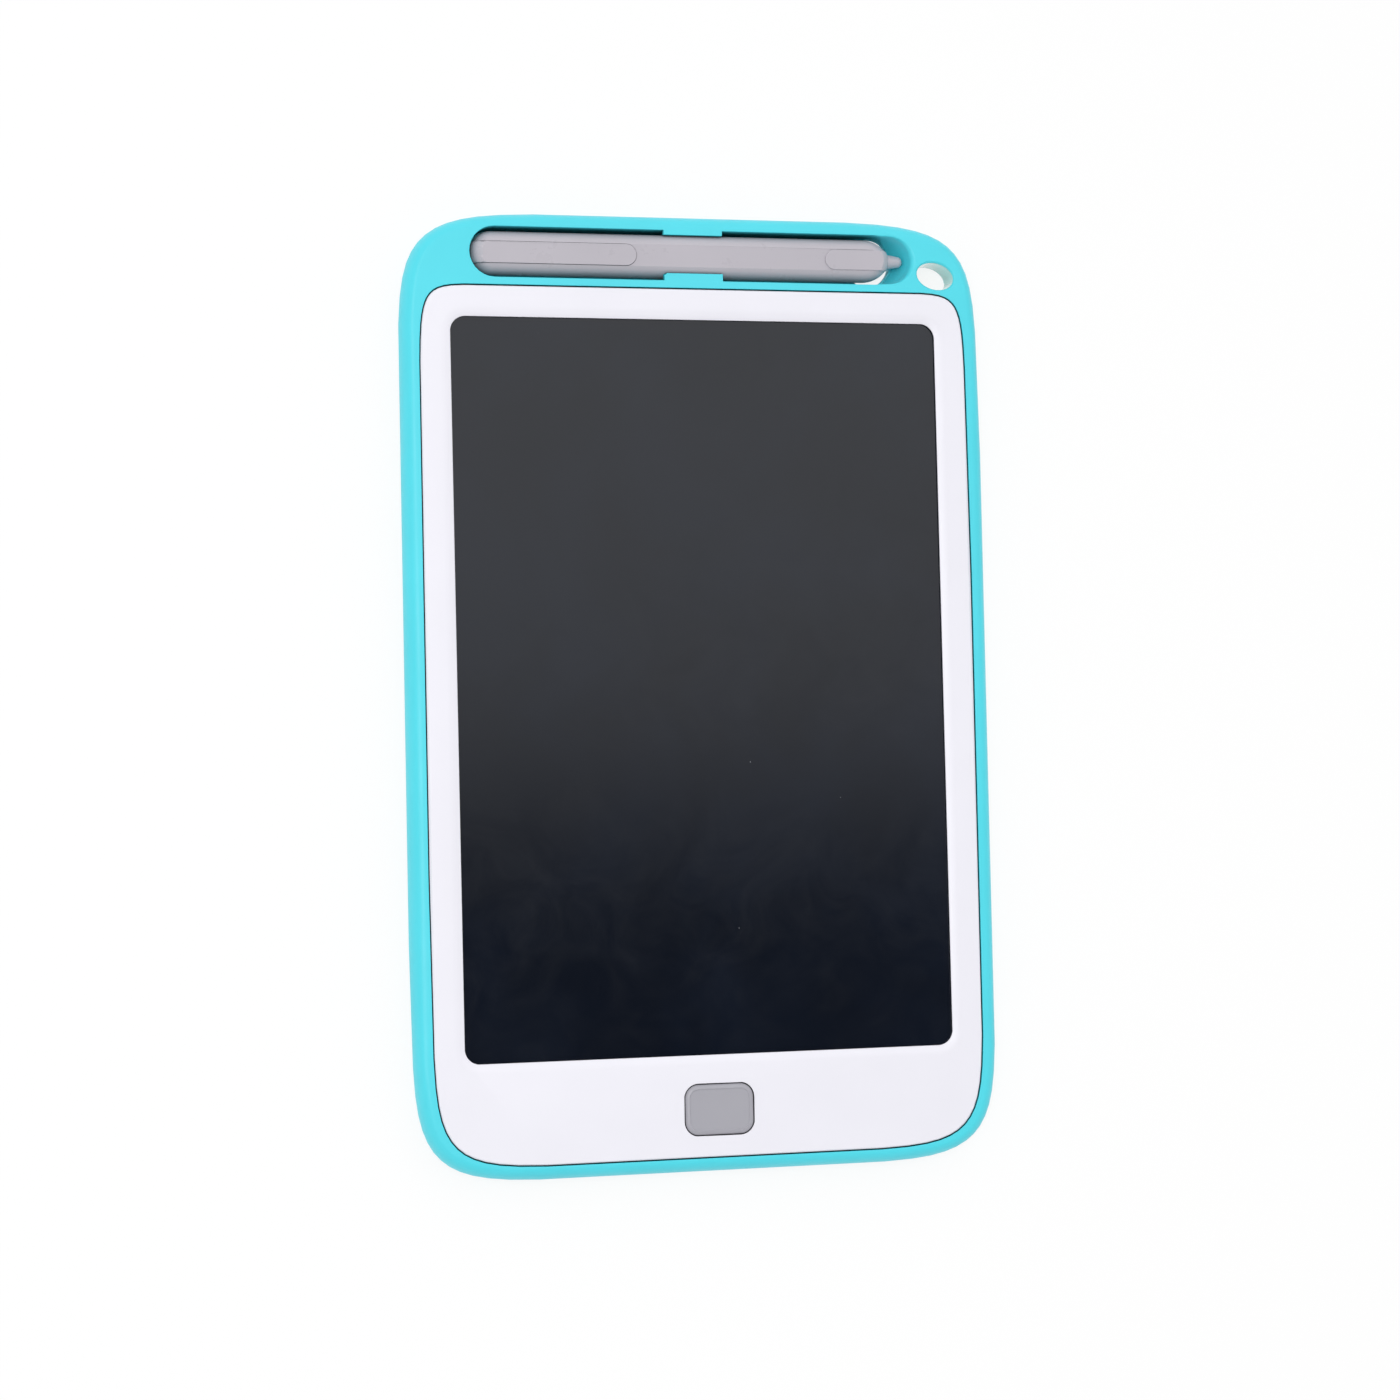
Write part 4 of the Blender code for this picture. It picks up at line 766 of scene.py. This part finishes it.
# %% Make the erase key
key_low, key_high, key_middle = box_middle("erase_button")
flange_width = 0.0017
flange_thickness = 0.0008
key_corner = 0.0033
key_rim = 0.0010
key_line = 0.00014
key_sink = 0.00016
key_flat_area = 0.00005
pad_low = Vector((key_low.x + flange_width, key_low.y + flange_width, key_low.z + flange_thickness))
pad_high = Vector((key_high.x - flange_width, key_high.y - flange_width, key_high.z))
key = start_block("erase_key", pad_low, pad_high)
choose("EDGE", upright)
bevel(key_corner, 10)
choose("EDGE", at_level(key_high.z))
bevel(key_rim, 6)
choose("FACE", lambda face: looks((0, 0, 1))(face) and face.calc_area() > key_flat_area)
bpy.ops.mesh.inset(thickness=key_line, depth=0)
bpy.ops.mesh.inset(thickness=key_line, depth=-key_sink)
choose("FACE", looks((0, 0, -1)))
extrude((0, 0, 0))
pad_size = pad_high - pad_low
scale_about(
    (key_middle.x, key_middle.y, pad_low.z),
    x=1 + 2 * flange_width / pad_size.x, y=1 + 2 * flange_width / pad_size.y,
)
extrude((0, 0, -flange_thickness))
close_up()
smooth(key)
hand_over(key, "button", "grey_plastic", key_grey, "erase_button")

# %% [markdown]
# ## The nib
#
# The nib is turned: a shank that is pushed into the pen, a shoulder, a cone and a blunt rounded tip that
# glides on the film. A rod is drawn out station by station, each one extruded and then scaled about the
# pen's own axis.

# %% Make the nib
nib_low, nib_high, nib_middle = box_middle("stylus_nib")
nib_base = (nib_high.y - nib_low.y) / 2 * 1.04
shank_radius = 0.0012
nib_overlap = 0.00008
shank_length = pen_nose - nib_overlap - nib_low.x
nib_stations = [
    (0.0012, 0.00138), (0.0008, 0.00128), (0.00045, 0.00108), (0.0002, 0.0008), (0.00005, 0.0005), (0, 0.0002),
]
nib = start_rod(
    "pen_nib", shank_radius, (nib_low.x, nib_middle.y, nib_middle.z),
    (nib_low.x + shank_length, nib_middle.y, nib_middle.z),
)
choose("FACE", looks((1, 0, 0)))
shank_end = nib_low.x + shank_length
stations = [(nib_high.x - back, radius) for back, radius in [(nib_high.x - shank_end, nib_base)] + nib_stations]
draw_out(shank_end, shank_radius, stations, (nib_middle.y, nib_middle.z))
close_up()
smooth(nib)
hand_over(nib, "stylus", "pen_plastic", pen_grey, "stylus_nib")

# %% [markdown]
# ## The lips of the pen channel
#
# Two thin lips in the middle of the channel snap over the pen. On the real tablet they are one with the
# face, so each block here runs two thirds of a millimetre into the wall and lies a hundredth below the face.
# The edge towards the pen is cut back underneath, where the pen's round side passes, and the lower lip has
# one corner cut off.

# %% Make the snap lips
lip_root = 0.00065
lip_lift = 0.0002
lip_sink = 0.00001
lip_relief = 0.0007
for node, side in (("pen_snap_lip_upper", 1), ("pen_snap_lip_lower", -1)):
    low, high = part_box(node)
    low.z += lip_lift
    high.z -= lip_sink
    if side > 0:
        high.y += lip_root
    else:
        low.y -= lip_root
    inner_y = low.y if side > 0 else high.y
    lip = start_block(node.replace("pen_", ""), low, high)
    choose("EDGE", lambda edge: at_level(low.z)(edge) and all(abs(c.co.y - inner_y) < 1e-6 for c in edge.verts))
    bevel(lip_relief, 5)
    if side < 0:
        choose("EDGE", lambda edge: upright(edge) and abs(edge.verts[0].co.x - low.x) < 1e-6
               and abs(edge.verts[0].co.y - inner_y) < 1e-6)
        bevel(lip_relief, 1)
    close_up()
    round_edges(lip, 0.0001, 3)
    hand_over(lip, "case", "teal_plastic", teal, node)

# %% [markdown]
# ## Screws
#
# All the screws are small self-tapping ones: a pan head with a cross recess and a coarse thread. The head
# and the shank are one rod, drawn out and scaled. The recess is cut with two crossed tapered blades. The
# thread could be painted on as a bump, but its outline would stay smooth, so a Screw modifier winds a small
# triangle round the shank.


# %% How a screw is made
def make_screw(name, foot, head_radius, head_height, shank_radius, length, turns):
    """A screw that points up from the middle of its head's lower face."""
    x, y, z = foot
    neck = z + head_height
    screw = start_rod(name, head_radius, foot, (x, y, neck), 40)
    choose("EDGE", at_level(z))
    bevel(head_height * 0.55, 5)
    choose("FACE", looks((0, 0, 1)))
    extrude((0, 0, 0))
    scale_about((x, y, neck), x=shank_radius / head_radius, y=shank_radius / head_radius)
    tip = shank_radius * 0.7
    extrude((0, 0, length - head_height - tip))
    extrude((0, 0, tip))
    scale_about((x, y, z + length), x=0.35, y=0.35)
    close_up()
    blade_long, blade_wide, blade_deep = head_radius * 0.62, head_radius * 0.16, head_height * 0.75
    for wide, deep in ((blade_long, blade_wide), (blade_wide, blade_long)):
        blade = start_block("recess_blade", (x - wide, y - deep, z - 0.0002), (x + wide, y + deep, z + blade_deep))
        choose("FACE", looks((0, 0, 1)))
        scale_about((x, y, z + blade_deep), x=0.5, y=0.5)
        close_up()
        carve(screw, blade, "DIFFERENCE")
    pitch = (length - head_height - tip) / (turns + 1)
    bpy.ops.object.select_all(action="DESELECT")
    bpy.ops.mesh.primitive_circle_add(
        vertices=3, radius=pitch * 0.3, location=(x + shank_radius, y, neck + pitch * 0.5),
        rotation=(math.radians(90), 0, 0),
    )
    thread = settle(name + "_thread")
    bpy.ops.mesh.select_all(action="SELECT")
    bpy.ops.transform.translate(value=(-x, -y, 0))
    close_up()
    apply_modifier(
        thread, "SCREW", axis="Z", angle=math.tau * turns, screw_offset=pitch * turns, steps=16 * turns,
        render_steps=16 * turns, use_merge_vertices=False,
    )
    bpy.ops.object.mode_set(mode="EDIT")
    bpy.ops.mesh.select_all(action="SELECT")
    bpy.ops.mesh.fill_holes(sides=3)
    bpy.ops.mesh.select_all(action="SELECT")
    bpy.ops.mesh.normals_make_consistent(inside=False)
    bpy.ops.transform.translate(value=(x, y, 0))
    close_up()
    join_to(screw, [thread])
    smooth(screw)
    return screw


def screw_sizes(node):
    """Where a packed screw stands, its head's radius and its length."""
    low, high, middle = box_middle(node)
    return Vector((middle.x, middle.y, low.z)), (high.x - low.x) / 2, high.z - low.z


# %% [markdown]
# ## Seven screws in their places
#
# Six screws hold the two shells together from the back, and a shorter one holds the battery door. The first
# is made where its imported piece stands. The other five are copies of it, each with its own mesh, because
# they are the same screw and only their places differ.

# %% Set the screws
first_foot, head, length = screw_sizes("case_screw_1")
first_screw = make_screw("housing_screw_1", first_foot, head, 0.0007, 0.00085, length, 5)
screws = [first_screw]
for number in range(2, 7):
    foot = screw_sizes(f"case_screw_{number}")[0]
    screws.append(another(first_screw, f"housing_screw_{number}", foot - first_foot))
for number, screw in enumerate(screws, 1):
    hand_over(screw, "case", "steel", plated_steel, f"case_screw_{number}")
door_foot, head, length = screw_sizes("battery_door_screw")
door_screw = make_screw("door_screw", door_foot, head, 0.0005, 0.0008, length, 2)
hand_over(door_screw, "door", "steel", plated_steel, "battery_door_screw")

# %% [markdown]
# ## The coin cell
#
# A coin cell is a drawn can, crimped over a thin plastic ring that insulates the cap. A disc has its edges
# rounded, and the side of the cap is inset twice: once down for the ring's groove and once up for the cap.
# The ring's faces get a dark finish of their own.

# %% Make the coin cell
cell_low, cell_high, cell_middle = box_middle("coin_cell")
cell_radius = (cell_high.x - cell_low.x) / 2
cap_rise = 0.0003
crimp = cell_high.z - cap_rise
cell = start_rod(
    "coin_cell_can", cell_radius, (cell_middle.x, cell_middle.y, cell_low.z),
    (cell_middle.x, cell_middle.y, crimp), 96,
)
choose("FACE", looks((0, 0, 1)))
bpy.ops.mesh.inset(thickness=0.0010, depth=0)
bpy.ops.mesh.inset(thickness=0.00005, depth=-0.0002)
bpy.ops.mesh.inset(thickness=0.0003, depth=0)
bpy.ops.mesh.inset(thickness=0.00008, depth=0.0005)
close_up()
round_edges(cell, 0.00012, 3)
cell.data.materials.append(plated_steel)
cell.data.materials.append(component_black)
ring_low, ring_high = cell_radius - 0.00136, cell_radius - 0.00104
for face in cell.data.polygons:
    away = (Vector(face.center[:2]) - Vector(cell_middle[:2])).length
    if face.center.z > crimp - 0.00025 and ring_low < away < ring_high and face.center.z < crimp - 0.0001:
        face.material_index = 1
hand_over(cell, "case", "steel", None, "coin_cell")

# %% [markdown]
# ## On the board
#
# The parts on the board are only seen when the tablet is taken apart, but they are pieces like any other.
# The chip is a moulded block, widest at its middle so that it comes out of the mould, with a round dot that
# marks its first leg. The block's two faces are drawn in, and the dot is cut with a short rod.

# %% Make the driver chip
chip_low, chip_high, chip_middle = box_middle("driver_chip")
board_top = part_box("controller_board")[1].z
chip = start_block("chip_body", chip_low, chip_high)
choose("FACE", looks((0, 0, 1)))
scale_about((chip_middle.x, chip_middle.y, chip_high.z), x=0.93, y=0.92)
choose("FACE", looks((0, 0, -1)))
scale_about((chip_middle.x, chip_middle.y, chip_low.z), x=0.96, y=0.95)
close_up()
dot_in, dot_radius, dot_depth = 0.0009, 0.0003, 0.00008
dot_x, dot_y = chip_low.x + dot_in, chip_low.y + dot_in
dot = start_rod(
    "chip_dot", dot_radius, (dot_x, dot_y, chip_high.z - dot_depth), (dot_x, dot_y, chip_high.z + 0.0002), 24
)
close_up()
carve(chip, dot, "DIFFERENCE")
round_edges(chip, 0.00006, 2)
hand_over(chip, "case", "black_component", component_black, "driver_chip")

# %% [markdown]
# ## The chip's legs
#
# Eight legs of tinned sheet come out of the chip's long sides, bend down to the board and run out flat. Four
# could be mirrored from the other four, but a mirrored mesh is inside out, so a loop makes all eight: a small
# block whose outer face is drawn down and then out.

# %% Bend the chip's legs
leg_rise = 0.0005
leg_half = 0.0002
leg_reach = 0.0007
leg_thick = 0.00015
leg_pitch = 0.00127
legs = []
for side in (-1, 1):
    edge_y = chip_high.y if side > 0 else chip_low.y
    for column in range(4):
        x = chip_middle.x + (column - 1.5) * leg_pitch
        root = board_top + leg_rise
        inner, outer = sorted((edge_y - side * 0.0003, edge_y + side * 0.00025))
        leg = start_block("chip_leg", (x - leg_half, inner, root), (x + leg_half, outer, root + leg_thick))
        choose("FACE", looks((0, side, 0)))
        extrude((0, side * 0.00012, -leg_rise + leg_thick * 0.4))
        extrude((0, side * (leg_reach - 0.00037), 0))
        close_up()
        legs.append(leg)
chip_legs = join_to(legs[0], legs[1:])
chip_legs.name = "chip_legs"
smooth(chip_legs)
hand_over(chip_legs, "case", "steel", plated_steel)

# %% [markdown]
# ## The boost coil
#
# The coil that lifts the voltage for the erase pulse is a black drum with enamelled copper wire round its
# core. The drum is a disc drawn up through a narrow core to a second flange. The wire could be one long
# spiral, but a close winding looks the same as a stack of rings, and rings are closed by themselves.

# %% Make the boost coil
coil_low, coil_high, coil_middle = box_middle("boost_coil")
coil_radius = (coil_high.x - coil_low.x) / 2
flange = 0.0004
drum_core = 0.6
drum = start_rod("coil_drum", coil_radius, (coil_middle.x, coil_middle.y, coil_low.z),
                 (coil_middle.x, coil_middle.y, coil_low.z + flange))
choose("FACE", looks((0, 0, 1)))
core_height = coil_high.z - coil_low.z - 2 * flange
for shift, ratio in ((0, drum_core), (core_height, 1), (0, 1 / drum_core), (flange, 1)):
    extrude((0, 0, shift))
    scale_about((coil_middle.x, coil_middle.y, coil_low.z), x=ratio, y=ratio)
close_up()
round_edges(drum, 0.00008, 2)
hand_over(drum, "case", "black_component", component_black, "boost_coil")

wire = 0.0001
turn_count = int(core_height / (2 * wire))
windings = []
for turn_number in range(turn_count):
    bpy.ops.object.select_all(action="DESELECT")
    level = coil_low.z + flange + wire * (2 * turn_number + 1)
    bpy.ops.mesh.primitive_torus_add(
        location=(coil_middle.x, coil_middle.y, level), major_radius=coil_radius * 0.86, minor_radius=wire,
        major_segments=48, minor_segments=8,
    )
    windings.append(settle("coil_turn"))
    close_up()
winding = join_to(windings[0], windings[1:])
winding.name = "coil_winding"
smooth(winding)
hand_over(winding, "case", "wound_copper", copper_wire)

# %% [markdown]
# ## The erase switch
#
# The switch under the erase key is a plain moulded block round a snap dome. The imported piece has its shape,
# so a copy with rounded edges is enough. Its plunger was made with the large white pieces.

# %% Make the erase switch's body
switch = copy_of("erase_switch_body", "switch_housing")
round_edges(switch, 0.0001, 3)
hand_over(switch, "case", "black_component", component_black, "erase_switch_body")

# %% [markdown]
# ## The plain inner pieces
#
# The backing card, the plate, the board, the ribbon and the contacts are flat or bent from flat, and the
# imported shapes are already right. They get rounded edges and their own finishes.

# %% Finish the plain inner pieces
plain_pieces = [
    ("backing_sheet", "backing_card", "black_sheet", black_card, 0.00004),
    ("support_plate", "stiff_plate", "black_sheet", black_card, 0.0001),
    ("display_tail", "film_ribbon", "tail_film", tail_amber, 0.00003),
    ("controller_board", "green_board", "circuit_board", board_green, 0.00006),
    ("lock_switch_body", "lock_switch_housing", "black_component", component_black, 0.0001),
    ("cell_contact_positive", "side_contact", "steel", plated_steel, 0.00005),
    ("cell_contact_negative", "cap_contact", "steel", plated_steel, 0.00005),
]
for node, name, slot, material, width in plain_pieces:
    piece = copy_of(node, name)
    round_edges(piece, width, 2)
    hand_over(piece, "case", slot, material, node)

# %% [markdown]
# ## The table
#
# The tablet lies on a white table. For the camera it is mostly bright by itself, so that the picture's ground
# is white and still shows a shadow. It can't be seen from below, and it lets the light through where it
# touches, so the back can be looked at as well.

# %% Lay the table
table_glow = 0.85
touch_length = 0.001
table_size = 6.0
table_gap = 0.0001


def table_material():
    """White table that glows for the camera and is clear from below."""
    material, tree = blank_material("white_table")
    rays = place(tree, "ShaderNodeLightPath")
    watched = reckon(tree, "MAXIMUM", rays.outputs["Is Camera Ray"], rays.outputs["Is Glossy Ray"])
    watched = reckon(tree, "MAXIMUM", watched, rays.outputs["Is Transmission Ray"])
    share = reckon(tree, "MULTIPLY", watched, table_glow)
    chalk = place(tree, "ShaderNodeBsdfDiffuse", [("Color", (0.95, 0.95, 0.95, 1))])
    glow = place(tree, "ShaderNodeEmission", [("Strength", 1.0)])
    mixed = place(
        tree, "ShaderNodeMixShader",
        [("Fac", share), (1, chalk.outputs["BSDF"]), (2, glow.outputs["Emission"])],
    )
    clear = place(tree, "ShaderNodeBsdfTransparent")
    below = place(tree, "ShaderNodeNewGeometry").outputs["Backfacing"]
    touching = reckon(tree, "LESS_THAN", rays.outputs["Ray Length"], touch_length)
    away = reckon(tree, "MAXIMUM", below, touching)
    sided = place(
        tree, "ShaderNodeMixShader",
        [("Fac", away), (1, mixed.outputs["Shader"]), (2, clear.outputs["BSDF"])],
    )
    place(tree, "ShaderNodeOutputMaterial", [("Surface", sided.outputs["Shader"])])
    return material


bpy.ops.object.select_all(action="DESELECT")
bpy.ops.mesh.primitive_plane_add(size=table_size, location=(0, 0, -table_gap))
table = bpy.context.active_object
table.name = "studio_table"
table.data.materials.append(table_material())
print("table", table_size, "m wide")

# %% [markdown]
# ## The sky and the softbox
#
# A wide softbox fills the upper half of the sky, and a dark gap next to it is what the lower part of the
# screen mirrors. Both could be panels, but a panel would stand in some pictures. So they are painted on the
# world by the direction of the ray: how far it leans forward and sideways for each step up. The camera itself
# sees plain white.

# %% Paint the sky
sky_level = 0.76
box_level, box_lift = 0.9, 0.35
lowest_rise = 0.02
world = bpy.data.worlds.new("studio_sky")
world.use_nodes = True
bpy.context.scene.world = world
sky = world.node_tree
sky.nodes.clear()
heading = place(
    sky, "ShaderNodeSeparateXYZ", [("Vector", place(sky, "ShaderNodeTexCoord").outputs["Generated"])]
)
rise = reckon(sky, "MAXIMUM", heading.outputs["Z"], lowest_rise)
forward = reckon(sky, "DIVIDE", heading.outputs["Y"], rise)
sideways = reckon(sky, "DIVIDE", heading.outputs["X"], rise)
soft_edge = {"interpolation_type": "SMOOTHSTEP"}
box_edge = ramp(sky, forward, -0.03, 0.05, 0.0, box_level, **soft_edge)
box_rise = ramp(sky, forward, 0.03, 0.17, 0.0, box_lift)
softbox = reckon(sky, "ADD", box_edge, box_rise)
gap_low = ramp(sky, forward, -0.9, -0.6, **soft_edge)
gap_left = ramp(sky, sideways, -0.5, -0.2, **soft_edge)
gap_right = ramp(sky, sideways, 1.0, 0.7, **soft_edge)
gap_side = reckon(sky, "MULTIPLY", gap_left, gap_right)
gap = reckon(sky, "MULTIPLY", gap_low, gap_side)
strength = place(sky, "ShaderNodeMix", [(0, gap), (2, sky_level), (3, softbox)], data_type="FLOAT")
rays = place(sky, "ShaderNodeLightPath")
watched = reckon(sky, "MAXIMUM", rays.outputs["Is Camera Ray"], rays.outputs["Is Transmission Ray"])
lit_sky = place(sky, "ShaderNodeBackground", [("Color", (1, 1, 1, 1)), ("Strength", strength.outputs[0])])
seen_sky = place(sky, "ShaderNodeBackground", [("Color", (1, 1, 1, 1)), ("Strength", 1.0)])
sky_mix = place(
    sky, "ShaderNodeMixShader",
    [("Fac", watched), (1, lit_sky.outputs["Background"]), (2, seen_sky.outputs["Background"])],
)
place(sky, "ShaderNodeOutputWorld", [("Surface", sky_mix.outputs["Shader"])])
print("sky of", len(sky.nodes), "nodes")

# %% [markdown]
# ## The lamp
#
# The sky alone would leave the tablet flat. One square lamp high above it, a little to the left, makes the
# soft shadow and the shading of the rounded rim. It is plain white and aims at the middle of the back.

# %% Hang the lamp
lamp_place = Vector((-0.3, 0.05, 1.15))
lamp_width, lamp_watts = 0.5, 4.8
lean = (-lamp_place).to_track_quat("-Z", "Y").to_euler()
bpy.ops.object.select_all(action="DESELECT")
bpy.ops.object.light_add(type="AREA", location=lamp_place, rotation=lean)
lamp = bpy.context.active_object
lamp.name = "studio_lamp"
lamp.data.size = lamp_width
lamp.data.energy = lamp_watts
print("lamp", round(lamp_place.length, 2), "m away")
